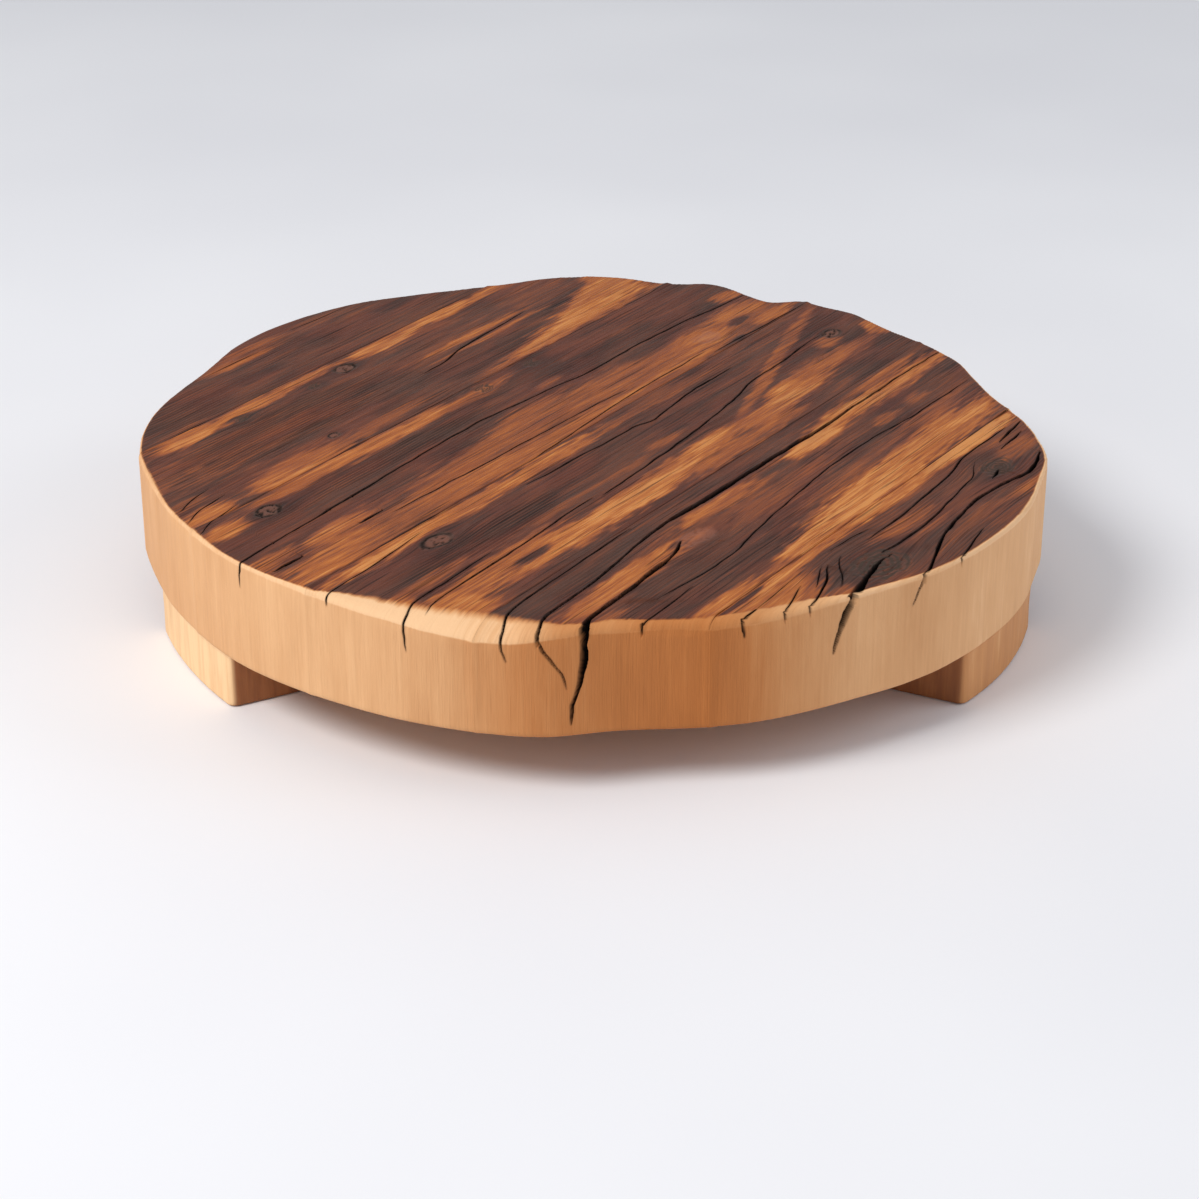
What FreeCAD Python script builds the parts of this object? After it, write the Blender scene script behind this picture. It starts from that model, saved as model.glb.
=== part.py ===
import FreeCAD, Part
import math
import os

# Low round cake stand: a slab glued up from old planks, sawn roughly round, on three block feet.
# Millimetres. +X runs along the grain, +Z is up, the origin is on the table under the middle.

# Slab
mean_radius = 178.0        # of the rough round, before its lobes and notches
slab_thickness = 44.0
plank_count = 6
edge_waste = 20.0          # width sawn off the two outer planks
seam_shift = 3.0           # the middle seam lies this far from the middle of the round
top_edge_round = 4.0
bottom_edge_round = 2.0

# The hand-sawn outline, counter-clockwise from +X: (degrees, millimetres outside the mean radius)
outline_lobes = [
    (0.5, 2.0), (3.2, -0.5), (5.6, -6.5), (9.0, -4.5), (12.5, 1.0), (17.0, 5.0), (22.0, 1.5),
    (26.5, 3.0), (32.0, 7.0), (39.0, 6.5), (49.0, 0.5), (55.0, 0.0), (62.5, 2.5), (70.0, 6.0),
    (82.0, 6.5), (93.0, 4.0), (99.0, 0.5), (106.0, -0.5), (115.0, 2.0), (131.0, 2.5), (142.0, -0.5),
    (149.0, -1.0), (157.0, -1.5), (164.0, -1.0), (177.0, -2.0), (191.0, -2.0), (205.0, -1.5),
    (210.0, -2.5), (216.0, -6.5), (226.0, -5.5), (233.0, -3.5), (241.0, -3.0), (249.0, -2.0),
    (256.0, 0.5), (264.0, 2.0), (271.0, 3.0), (278.0, 4.0), (284.0, 4.0), (290.0, 4.0),
    (296.0, 5.0), (302.0, 2.5), (308.0, -0.5), (315.5, -5.5), (324.0, -5.0), (331.0, -2.0),
    (346.0, -2.0), (355.0, 2.0),
]

# Dowels that line up and hold the glued planks
dowel_diameter = 10.0
dowel_length = 50.0
dowel_clearance = 0.1      # round the dowel
dowel_end_gap = 1.0        # glue space past each end
dowel_shares = {"edge": (-0.4, 0.4), "inner": (-0.6, 0.0, 0.6)}   # of half the seam's length

# Feet
foot_height = 23.0
foot_width = 75.0          # across the foot, along the rim
foot_depth = 50.0          # from the rim towards the middle
foot_setback = 2.0         # of its outer face behind the slab's wall
foot_corner_round = 4.0
foot_bottom_round = 2.0
foot_directions = {"left": 151.5, "right": 278.5, "back": 35.0}   # degrees from +X

# Countersunk wood screws, two up through each foot
screw_diameter = 4.5
screw_tip_length = 6.0
screw_to_dowel_gap = 2.0   # from the points up to the height of the dowels
screw_head_diameter = 8.8
screw_head_height = 2.6
screw_spacing = 40.0
screw_recess = 3.0         # of the head above the foot's underside
screw_clearance = 0.1
driver_recess_diameter = 4.0
driver_recess_depth = 1.6

slab_bottom = foot_height
slab_top = slab_bottom + slab_thickness
dowel_height = slab_bottom + slab_thickness / 2
screw_length = dowel_height - dowel_diameter / 2 - screw_to_dowel_gap - screw_recess
plank_width = 2 * (mean_radius + edge_waste) / plank_count
largest_radius = mean_radius + max(offset for angle, offset in outline_lobes)
seam_places = [seam_shift + (plank_count / 2 - index) * plank_width for index in range(1, plank_count)]
up = FreeCAD.Vector(0, 0, 1)
flat_tolerance = 0.01


def polar(radius, degrees, height=0.0):
    angle = math.radians(degrees)
    return FreeCAD.Vector(radius * math.cos(angle), radius * math.sin(angle), height)


def outline_curve(height):
    """Closed smooth curve through the lobes and notches."""
    curve = Part.BSplineCurve()
    points = [polar(mean_radius + offset, angle, height) for angle, offset in outline_lobes]
    curve.interpolate(Points=points, PeriodicFlag=True)
    return curve


def outline_radius(degrees):
    """Distance from the middle to the wall in one direction."""
    ray = Part.LineSegment(FreeCAD.Vector(), polar(2 * mean_radius, degrees))
    crossings = outline_curve(0.0).intersect(ray)
    return math.hypot(crossings[0].X, crossings[0].Y)


def level_edges(shape, height):
    """Edges that lie flat at one height."""
    return [edge for edge in shape.Edges
            if abs(edge.BoundBox.ZMin - height) < flat_tolerance
            and abs(edge.BoundBox.ZMax - height) < flat_tolerance]


def slab():
    """The whole glued-up round, with its edges eased."""
    wall = Part.Face(Part.Wire([outline_curve(slab_bottom).toShape()]))
    blank = wall.extrude(up * slab_thickness)
    blank = blank.makeFillet(top_edge_round, level_edges(blank, slab_top))
    return blank.makeFillet(bottom_edge_round, level_edges(blank, slab_bottom))


def plank_strip(index):
    """Box that holds one plank, from one seam to the next."""
    reach = largest_radius + edge_waste
    edges = [reach] + seam_places + [-reach]
    low = edges[index + 1]
    width = edges[index] - low
    return Part.makeBox(2 * reach, width, slab_thickness, FreeCAD.Vector(-reach, low, slab_bottom))


def dowel_rows():
    """For each seam, where its dowels cross it."""
    rows = []
    for seam in seam_places:
        kind = "edge" if seam in (seam_places[0], seam_places[-1]) else "inner"
        half_seam = math.sqrt(mean_radius ** 2 - seam ** 2)
        rows.append([FreeCAD.Vector(share * half_seam, seam, dowel_height)
                     for share in dowel_shares[kind]])
    return rows


def rod_across(centre, diameter, length):
    start = centre - FreeCAD.Vector(0, length / 2, 0)
    return Part.makeCylinder(diameter / 2, length, start, FreeCAD.Vector(0, 1, 0))


def screw_places(direction):
    """The two screws of a foot, side by side in the middle of its depth."""
    outward = polar(1.0, direction)
    across = polar(1.0, direction + 90.0)
    middle = outward * (outline_radius(direction) - foot_setback - foot_depth / 2)
    return [middle + across * (side * screw_spacing / 2) for side in (-1, 1)]


def screw(place):
    """Countersunk head with a cross recess, shank and point, standing on its head."""
    head_bottom = place + up * screw_recess
    shank_bottom = head_bottom + up * screw_head_height
    straight = screw_length - screw_head_height - screw_tip_length
    head = Part.makeCone(screw_head_diameter / 2, screw_diameter / 2, screw_head_height, head_bottom)
    shank = Part.makeCylinder(screw_diameter / 2, straight, shank_bottom)
    tip = Part.makeCone(screw_diameter / 2, 0.0, screw_tip_length, shank_bottom + up * straight)
    recess = Part.makeCone(driver_recess_diameter / 2, driver_recess_diameter / 4,
                           driver_recess_depth, head_bottom)
    return head.fuse([shank, tip]).removeSplitter().cut(recess)


def screw_hole(place):
    """Counterbore for the head, countersink and pilot, all a little larger than the screw."""
    head_radius = screw_head_diameter / 2 + screw_clearance
    shank_radius = screw_diameter / 2 + screw_clearance
    counterbore = Part.makeCylinder(head_radius, screw_recess, place)
    sink_bottom = place + up * screw_recess
    sink = Part.makeCone(head_radius, shank_radius, screw_head_height, sink_bottom)
    pilot_length = screw_length - screw_head_height + screw_clearance
    pilot = Part.makeCylinder(shank_radius, pilot_length, sink_bottom + up * screw_head_height)
    return counterbore.fuse([sink, pilot])


def foot(direction):
    """Block with straight sides; its outer face follows the slab's wall."""
    half_angle = math.degrees(math.asin(foot_width / 2 / mean_radius))
    outward = polar(1.0, direction)
    outer = [polar(outline_radius(direction + turn) - foot_setback, direction + turn)
             for turn in (-half_angle, 0.0, half_angle)]
    inner_distance = outer[1].Length - foot_depth
    inner = [corner - outward * (corner.dot(outward) - inner_distance) for corner in (outer[0], outer[2])]
    plan = Part.Wire([
        Part.Arc(*outer).toShape(),
        Part.LineSegment(outer[2], inner[1]).toShape(),
        Part.LineSegment(inner[1], inner[0]).toShape(),
        Part.LineSegment(inner[0], outer[0]).toShape(),
    ])
    block = Part.Face(plan).extrude(up * foot_height)
    uprights = [edge for edge in block.Edges if edge.BoundBox.ZLength > foot_height / 2]
    block = block.makeFillet(foot_corner_round, uprights)
    block = block.makeFillet(foot_bottom_round, level_edges(block, 0.0))
    for place in screw_places(direction):
        block = block.cut(screw_hole(place))
    return block


def planks():
    """The slab sawn at its seams, bored for dowels and screws."""
    whole = slab()
    bore_length = dowel_length + 2 * dowel_end_gap
    bores = [rod_across(centre, dowel_diameter + 2 * dowel_clearance, bore_length)
             for row in dowel_rows() for centre in row]
    pilots = [screw_hole(place) for direction in foot_directions.values()
              for place in screw_places(direction)]
    return [whole.common(plank_strip(index)).cut(bores + pilots) for index in range(plank_count)]


def write(name, shape):
    shape.exportStep(os.path.join("parts", name + ".step"))
    box = shape.BoundBox
    print("%-18s solids %d  volume %9.1f  x %.1f..%.1f  y %.1f..%.1f  z %.1f..%.1f  valid %s" % (
        name, len(shape.Solids), shape.Volume, box.XMin, box.XMax, box.YMin, box.YMax,
        box.ZMin, box.ZMax, shape.isValid()))


os.makedirs("parts", exist_ok=True)
for number, plank in enumerate(planks(), start=1):
    write("plank_%d" % number, plank)
for number, row in enumerate(dowel_rows(), start=1):
    dowels = [rod_across(centre, dowel_diameter, dowel_length) for centre in row]
    write("seam_dowels_%d" % number, Part.makeCompound(dowels))
for name, direction in foot_directions.items():
    write("foot_" + name, foot(direction))
    screws = [screw(place) for place in screw_places(direction)]
    write("foot_screws_" + name, Part.makeCompound(screws))
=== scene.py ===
import math

import bmesh
import bpy
import numpy as np
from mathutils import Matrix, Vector
from mathutils.bvhtree import BVHTree


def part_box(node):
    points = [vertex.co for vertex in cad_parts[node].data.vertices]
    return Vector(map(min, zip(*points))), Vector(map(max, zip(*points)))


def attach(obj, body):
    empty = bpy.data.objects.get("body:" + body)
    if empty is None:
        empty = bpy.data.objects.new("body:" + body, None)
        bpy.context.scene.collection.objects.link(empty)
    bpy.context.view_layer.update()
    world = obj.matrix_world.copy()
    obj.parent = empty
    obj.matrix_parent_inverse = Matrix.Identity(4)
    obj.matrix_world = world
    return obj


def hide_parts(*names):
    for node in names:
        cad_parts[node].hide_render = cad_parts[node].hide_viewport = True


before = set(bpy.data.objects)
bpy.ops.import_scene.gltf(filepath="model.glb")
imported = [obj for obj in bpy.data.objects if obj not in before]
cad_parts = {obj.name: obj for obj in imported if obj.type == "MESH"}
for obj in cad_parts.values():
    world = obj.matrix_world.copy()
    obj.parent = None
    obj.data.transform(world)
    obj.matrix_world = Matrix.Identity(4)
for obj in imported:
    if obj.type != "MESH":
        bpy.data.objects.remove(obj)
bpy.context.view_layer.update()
print("frame loaded,", len(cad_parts), "nodes")

# lengths are in millimetres until a mesh is made
toMetres = 0.001
plankNames = [f"plank_{number}" for number in range(1, 7)]
footSides = ("left", "right", "back")
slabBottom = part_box("plank_1")[0].z / toMetres
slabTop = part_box("plank_1")[1].z / toMetres


def newPiece(name, data):
    piece = bpy.data.objects.new(name, data)
    bpy.context.scene.collection.objects.link(piece)
    return piece


def placePiece(piece, node):
    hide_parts(node)
    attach(piece, "root")


def writeField(mesh, name, values):
    mesh.attributes.new(name, "FLOAT", "POINT").data.foreach_set("value", values.astype(np.float32))


def cellNoise(x, y, seed):
    # smooth random field from 0 to 1 with one cell to the unit
    cells = 256
    table = np.random.default_rng(seed).random((cells, cells))
    column, row = np.floor(x).astype(int), np.floor(y).astype(int)
    across, up = x - column, y - row
    across, up = across * across * (3 - 2 * across), up * up * (3 - 2 * up)
    left, right, low, high = column % cells, (column + 1) % cells, row % cells, (row + 1) % cells
    lower = table[left, low] * (1 - across) + table[right, low] * across
    upper = table[left, high] * (1 - across) + table[right, high] * across
    return lower * (1 - up) + upper * up


def layeredNoise(x, y, seed, layers=3):
    total = sum(cellNoise(x * 2**i, y * 2**i, seed + i) / 2**i for i in range(layers))
    return total / (2 - 2 ** (1 - layers))


def smoothStep(start, end, value):
    share = np.clip((value - start) / (end - start), 0, 1)
    return share * share * (3 - 2 * share)


def readTable(place, table):
    return np.interp(place, *zip(*table))


outline = {
    "samples": 1440,
    "readingHeight": 45.0,   # where the wall is upright on every plank
    "smoothing": 9,          # samples that the chords of the frame's mesh are smoothed over
    "inset": 0.05,           # keeps the visible wall just inside the solid one
}


def readOutline():
    trees = []
    for name in plankNames:
        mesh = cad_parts[name].data
        corners, sides = [v.co for v in mesh.vertices], [p.vertices for p in mesh.polygons]
        trees.append(BVHTree.FromPolygons(corners, sides))
    angles = np.arange(outline["samples"]) * 360 / outline["samples"]
    outside = 0.4    # metres from the middle, clear of the slab
    radii = []
    for angle in np.radians(angles):
        outward = Vector((math.cos(angle), math.sin(angle), 0))
        start = outward * outside + Vector((0, 0, outline["readingHeight"] * toMetres))
        hits = [tree.ray_cast(start, -outward)[3] for tree in trees]
        radii.append((outside - min(h for h in hits if h is not None)) / toMetres)
    window = np.hanning(outline["smoothing"] + 2)[1:-1]
    reach = len(window) // 2
    wrapped = np.concatenate([radii[-reach:], radii, radii[:reach]])
    return angles, np.convolve(wrapped, window / window.sum(), "valid") - outline["inset"]


rimAngles, rimRadii = readOutline()
rimSlopes = np.gradient(np.concatenate([rimRadii[-1:], rimRadii, rimRadii[:1]]))[1:-1]
rimSlopes = rimSlopes / np.radians(360 / outline["samples"])
rimCos, rimSin = np.cos(np.radians(rimAngles)), np.sin(np.radians(rimAngles))
rimX, rimY = rimRadii * rimCos, rimRadii * rimSin
outwardX, outwardY = rimX + rimSlopes * rimSin, rimY - rimSlopes * rimCos
outwardX, outwardY = outwardX / np.hypot(outwardX, outwardY), outwardY / np.hypot(outwardX, outwardY)
meanRadius = float(rimRadii.mean())
print("outline read, radius", round(rimRadii.min(), 1), "to", round(rimRadii.max(), 1), "mm")


def aroundRim(angle, values):
    return np.interp(angle, rimAngles, values, period=360)


def rimDistance(x, y):
    angle = np.degrees(np.arctan2(y, x)) % 360
    radius, slope = aroundRim(angle, rimRadii), aroundRim(angle, rimSlopes)
    return (radius - np.hypot(x, y)) * radius / np.hypot(radius, slope), angle


def rimCrossing(value, side):
    # where the outline meets a line of constant y (left, right) or of constant x (front, back), and how
    # squarely it faces that side
    half = {"right": rimX > 0, "left": rimX < 0, "back": rimY > 0, "front": rimY < 0}[side]
    along, across, facing = (rimY, rimX, outwardX) if side in ("left", "right") else (rimX, rimY, outwardY)
    order = np.argsort(along[half])
    return [np.interp(value, along[half][order], table[half][order]) for table in (across, facing)]


topEdge = {
    # polar degrees, millimetres
    "depths": [(0, 2.4), (130, 2.4), (140, 1.7), (172, 1.8), (180, 2.8), (185, 3.4), (190, 4.2),
        (195, 5.6), (201, 7.2), (205, 7), (209, 5), (213, 3.8), (218, 4.4), (223, 3.6), (229, 4.6),
        (236, 3.8), (243, 2.6), (255, 2), (360, 2.4)],
    "widths": [(0, 2.4), (130, 2.4), (140, 1.7), (172, 1.7), (180, 2.6), (185, 6), (189, 9), (195, 10),
        (204, 10), (209, 6), (213, 4), (217, 4.6), (222, 3.6), (230, 4.2), (238, 4.2), (246, 2.4),
        (360, 2.4)],
    "paleWidths": [(0, 0.9), (60, 1.2), (100, 0.8), (132, 1), (139, 1.9), (148, 1.3), (156, 1.6),
        (166, 1.2), (174, 1.1), (180, 1.2), (183, 4.5), (187, 6.5), (193, 7.5), (199, 8.6), (204, 8.8),
        (208, 6.2), (211, 3.6), (214, 2.5), (217, 4), (221, 2.4), (228, 2.4), (235, 4.2), (241, 4.6),
        (246, 1.6), (262, 1), (275, 1.4), (290, 1.6), (360, 0.9)],
    "roundness": (2.0, 1.35),             # of a narrow edge and of a wide one, 1 for a flat bevel
    "roundnessWidths": (4, 10),
    "raggedness": 0.5,
    # painted highlight that lifts the edge above the wall's tone
    "highlightLighterThanWall": (0.15, 0.3),       # on a narrow edge and on a wide one
    # partly a painted highlight on a wide edge
    "highlightPalerThanWall": 0.55,                # share of the orange left out on a wide one
    "wideFrom": (3, 8),
    "softness": (0.5, 2.2),               # of its inner border, and how much softer on a wide one
    "turnsUpright": (0.85, 0.99),         # lean at which splits pass from the top to the wall
}
seamShades = [
    # how dark each seam shows at places along its length, from the back seam to the front one
    [(-125, 0.9), (-60, 0.95), (-5, 0.7), (20, 0.35), (48, 0.55), (90, 0.7), (125, 0.5)],
    [(-160, 0.3), (-82, 0.25), (-74, 0.85), (-4, 0.85), (8, 0.3), (160, 0.2)],
    [(-175, 0.4), (-120, 0.15), (0, 0.1), (100, 0.35), (175, 0.45)],
    [(-165, 0.3), (-60, 0.1), (40, 0.35), (165, 0.3)],
    [(-118, 0.5), (-83, 0.6), (-74, 0.05), (30, 0.05), (46, 0.6), (90, 0.6), (96, 0.2), (120, 0.2)],
]


def edgeDepth(angle):
    return readTable(angle, topEdge["depths"])


def edgeProfile(distance, angle):
    # drop below the top, rounded over the edge or planed to a bevel, and how far the surface leans outward
    width = readTable(angle, topEdge["widths"])
    power = np.interp(width, topEdge["roundnessWidths"], topEdge["roundness"])
    share = np.clip(1 - distance / width, 0, 1 - 1e-9)
    fall = (1 - share**power) ** (1 / power)
    return edgeDepth(angle) * (1 - fall), smoothStep(0, 1, share)


# route is along the top, drop is how a split runs on down the wall from its first point: sideways, down;
# rimWidth is how wide it is at the edge, and swell makes it wider or narrower along x
splits = [
    dict(width=0.8, deep=3, route=[(-172.7, 36.4), (-138, 38.1), (-90.5, 40.1), (-40, 42.7),
         (-15, 43.2), (20, 40), (53, 36.8), (96, 37.5), (130, 36), (150, 33.5), (171, 31.5)],
         drop=[(0, 0), (-0.6, 4), (-0.4, 9)]),
    dict(width=0.5, deep=2, route=[(-106, 17.5), (-48, 15.7), (28, 14.2), (47, 12.5)]),
    dict(width=1.4, deep=2, route=[(-171, 21), (-163, 21.7), (-155, 21)]),
    dict(width=1.3, deep=1.8, route=[(-121, 21.5), (-114, 22.1), (-107, 21.5)]),
    dict(width=0.45, deep=1.8, route=[(-40, 2.4), (35, 7.9), (101, 8.7)]),
    dict(width=0.5, deep=1.8, route=[(101, 4.9), (176, 3.1)]),
    dict(width=0.45, deep=1.2, route=[(-163, 63.5), (-152, 68.3), (-134, 71)]),
    dict(width=0.45, deep=1.2, route=[(-159, 74), (-148, 79), (-129.5, 81)]),
    dict(width=0.4, deep=1, route=[(-152, 84), (-142, 88), (-129, 90)]),
    dict(width=0.4, deep=1.2, route=[(-175.8, -6.3), (-168.5, -6), (-146, -5.2), (-113, -1.9)],
         drop=[(0, 0), (0.2, 2)]),
    dict(width=0.7, deep=2, route=[(-58, -9.4), (0, -12), (16, -12), (22, -15.4), (25, -15),
         (40, -12.6), (63, -10.5), (91, -10.5)]),
    dict(width=0.75, deep=2.4, route=[(-171.9, -37.8), (-163, -35.4), (-150, -34.9), (-114, -34.1)],
         drop=[(0, 0), (0.5, 5), (0.8, 10.5)]),
    dict(width=0.6, deep=2.2, route=[(-166, -43.2), (-158, -41.6), (-150, -40.9), (-106, -39.6),
         (-53, -37.1)]),
    dict(width=0.7, deep=2.4, route=[(-50, -39.5), (0, -36.5), (30, -34.5), (63, -30), (80, -26),
         (105, -25), (146, -22)]),
    dict(width=0.65, deep=2.2, route=[(-160.8, -72.3), (-152, -68), (-145, -66.8), (-106, -65.6),
         (-68, -64.5)], drop=[(0, 0), (0.6, 3), (2.2, 7.5)]),
    dict(width=2.3, deep=5.5, rimWidth=0.9, route=[(-154.5, -83.5), (-146, -80), (-117, -78.8),
         (-82, -75), (-61, -72.7), (0, -74.4), (60, -75.5), (120, -74.6), (159, -74.8)],
         swell=[(-146, 0.4), (-75, 0.42), (-48, 1), (44, 1), (84, 0.36), (159, 0.28)], drop=[(0, 0),
         (2.4, 4.7), (5.6, 9.5), (8.3, 14), (9.6, 17.5), (10.3, 21)]),
    dict(width=1.9, deep=6, rimWidth=3.1, route=[(-145.4, -95.5), (-138, -93.4), (-117, -92.9),
         (-82, -90.5), (-73.4, -89), (-66, -84.8)], drop=[(0, 0), (0.2, 6), (-0.3, 12), (-1, 17),
         (-2.6, 23), (-4, 27), (-4.4, 35)]),
    dict(width=0.5, deep=2, route=[(-134.5, -109.9), (-125, -110.9), (-95.5, -110.1)], drop=[(0, 0),
         (0.2, 1.6)]),
    dict(width=0.55, deep=2.2, route=[(-113, -104.6), (-80, -107.6), (-63, -107.6), (-33, -102.8),
         (20, -97.5), (63, -97.5), (83, -100.1), (136, -100.1)]),
    dict(width=0.9, deep=2.2, route=[(-108.4, -137.5), (-103, -138.4), (-99, -138.2)], drop=[(0, 0),
         (0.5, 5)]),
    dict(width=0.25, deep=1, route=[(-104, -138.4), (-84, -137.2), (-62, -136)]),
    dict(width=0.55, deep=1.5, route=[(-97.5, -149), (-92, -146.6), (-84, -144.5), (-74, -141.4)],
         drop=[(0, 0), (0.1, 1.2)]),
    dict(width=0.75, deep=2.2, route=[(-86.3, -152.8), (-80, -151.4), (-70, -149), (-62, -145.4),
         (-54, -140.6)], drop=[(0, 0), (0.1, 1.2)]),
    dict(width=0.35, deep=1.2, route=[(-73, -147.4), (-63, -142.4), (-56, -139.4)]),
    dict(width=0.4, deep=1.2, route=[(-68, -154.8), (-58, -149.6), (-51, -143.6), (-44, -140.6)]),
    dict(width=2.2, deep=5.5, rimWidth=3.9, route=[(-72, -162), (-63, -159.3), (-57, -158.1),
         (-51, -156.9), (-40.4, -154.8), (-32, -156)], swell=[(-72, 1.6), (-62, 1.3), (-55, 0.9),
         (-45, 1.1), (-36, 0.6)], drop=[(0, 0), (-2, 2.5), (-4.5, 8), (-6.6, 14), (-8.3, 20)]),
    dict(width=1.7, deep=4.5, rimWidth=1.2, route=[(-41.5, -174.6), (-30, -171.2), (-18, -167.2),
         (-7, -163.8), (10, -161), (30, -159.2), (48, -161), (62, -164.4), (72, -162.6), (84, -158.8)],
         swell=[(-41, 0.7), (20, 0.8), (60, 0.9), (70, 1.3), (84, 1.2)], drop=[(0, 0), (-2.6, 4.5),
         (-5.4, 10)]),
    dict(width=1, deep=2.8, route=[(-34, -151.8), (-25, -153.6), (0, -153.6), (25, -151), (46, -148.6),
         (60, -141.8)], swell=[(-34, 1.2), (-20, 1), (30, 0.6), (60, 0.35)]),
    dict(width=0.7, deep=2, route=[(-28, -142.4), (0, -142.8), (20, -141.4), (45, -139.6), (60, -136.4),
         (78, -136.8), (98, -137)]),
    dict(width=0.4, deep=1.2, route=[(-46, -135.8), (-32, -136.4), (-18, -138)]),
    dict(width=1, deep=2.4, route=[(82, -142), (92, -140.4), (107, -139)]),
    dict(width=0.8, deep=1.8, route=[(76, -145.4), (88, -144.8), (98, -143.8)]),
    dict(width=1.1, deep=2, route=[(49, -155.4), (54, -154.4), (59, -152.8)]),
    dict(width=0.6, deep=1.8, route=[(-22.5, -179.2), (-10, -176.4), (6, -173.4)], drop=[(0, 0),
         (-0.3, 1.2)]),
    dict(width=0.8, deep=2.2, route=[(12, 93.7), (28, 94.4), (42, 98), (56, 99.3), (79, 100.7),
         (97, 102)]),
    dict(width=0.4, deep=1.2, route=[(-42, 168), (-25, 168.4), (-8, 168)]),
    dict(width=0.4, deep=1.2, route=[(20, 174), (60, 172)]),
]
splitting = {
    "taper": 22.0,        # length over which a split closes at its end
    "blur": 3.0,          # how softly its route bends
    "wander": 0.7,
    "wanderLength": 9.0,
    "uneven": (0.65, 0.7),    # narrowest share of its width, and how much more it may be
    "rimReach": 16.0,     # how far in from the edge rimWidth still counts
    "sootReach": 0.2,     # dark stain beside it
    "overrun": 14.0,      # how far a split may run on past its first point to the edge
    "wallDepth": 0.8,     # share of its depth that it keeps on the wall
    "rowGather": 3.0,     # how much closer the mesh rows lie at a split
}
for number, split in enumerate(splits):
    split["x"], split["y"] = np.array(sorted(split["route"]), float).T
    split["seed"] = 300 + 7 * number


def splitLine(split, x):
    steps = (-splitting["blur"], 0, splitting["blur"])
    softened = [np.interp(x + step, split["x"], split["y"]) for step in steps]
    wander = layeredNoise(x / splitting["wanderLength"], x * 0, split["seed"], 2) - 0.5
    return sum(softened) / 3 + splitting["wander"] * wander


def leavesTop(split):
    # polar angle where a split runs out over the edge
    x = split["x"][0] + np.linspace(-splitting["overrun"], splitting["overrun"], 400)
    y = splitLine(split, x)
    first = np.argmax(rimDistance(x, y)[0] > 0)
    return math.degrees(math.atan2(y[first], x[first])) % 360


for split in splits:
    if "drop" in split:
        split["polar"] = leavesTop(split)


def splitWidth(split, x):
    taper = min(splitting["taper"], (split["x"][-1] - split["x"][0]) * 0.45)
    closing = np.clip((split["x"][-1] - x) / taper, 0, 1)
    opening = np.clip((x - split["x"][0]) / taper, 0, 1)
    if "drop" in split:
        opening = (x > split["x"][0] - splitting["overrun"]) * 1.0
    least, more = splitting["uneven"]
    width = split["width"] * (least + more * layeredNoise(x / 8, x * 0, split["seed"] + 3, 2))
    if "swell" in split:
        width = width * readTable(x, split["swell"])
    if "rimWidth" in split:
        within = np.interp(x - split["x"][0], [0, splitting["rimReach"]], [1, 0])
        width = split["rimWidth"] * within * 0.5 + width * (1 - 0.5 * within)
    return width * np.sqrt(opening * closing)


def splitShape(away, halfWidth, deep):
    # depth of the groove and how dark it is, at a distance from its middle: painted shade inside the
    # groove, fading out into a dark stain beside it
    inside = np.clip(1 - (away / np.maximum(halfWidth, 0.02)) ** 2, 0, 1)
    depth = deep * np.minimum(1, halfWidth / 0.25) * inside**0.6
    dark = np.exp(-np.clip(away - halfWidth * 0.95, 0, None) / splitting["sootReach"])
    dark = dark * np.minimum(1, halfWidth / 0.14)
    return depth, dark


def topSplits(x, y):
    depth, dark = np.zeros_like(x), np.zeros_like(x)
    for split in splits:
        near = (x > split["x"][0] - splitting["overrun"]) & (x < split["x"][-1])
        near &= np.abs(y - split["y"].mean()) < splitting["overrun"] * 2
        if not near.any():
            continue
        line = splitLine(split, x[near])
        slope = splitLine(split, x[near] + 0.5) - splitLine(split, x[near] - 0.5)
        away = np.abs(y[near] - line) * np.cos(np.arctan(slope))
        cut, soot = splitShape(away, splitWidth(split, x[near]) / 2, split["deep"])
        depth[near], dark[near] = np.maximum(depth[near], cut), np.maximum(dark[near], soot)
    return depth, dark


def wallSplits(angle, below):
    # below is measured from where the wall starts
    depth, dark = np.zeros_like(angle), np.zeros_like(angle)
    for split in splits:
        if "drop" not in split:
            continue
        sideways, down = np.array(split["drop"], float).T
        along = (angle - split["polar"] + 180) % 360 - 180
        wander = splitting["wander"] * (layeredNoise(below / 5, below * 0, split["seed"] + 5, 2) - 0.5)
        line = np.interp(below, down, sideways) + wander * np.minimum(1, below / 3)
        away = np.abs(np.radians(along) * aroundRim(split["polar"], rimRadii) - line)
        opening = np.clip((down[-1] - below) / down[-1], 0, 1) ** 0.6
        uneven = 0.75 + 0.5 * cellNoise(below / 4, below * 0, split["seed"])
        width = split.get("rimWidth", split["width"]) * opening * uneven
        cut, soot = splitShape(away, width / 2, split["deep"] * splitting["wallDepth"])
        depth, dark = np.maximum(depth, cut), np.maximum(dark, soot)
    return depth, dark


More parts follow.
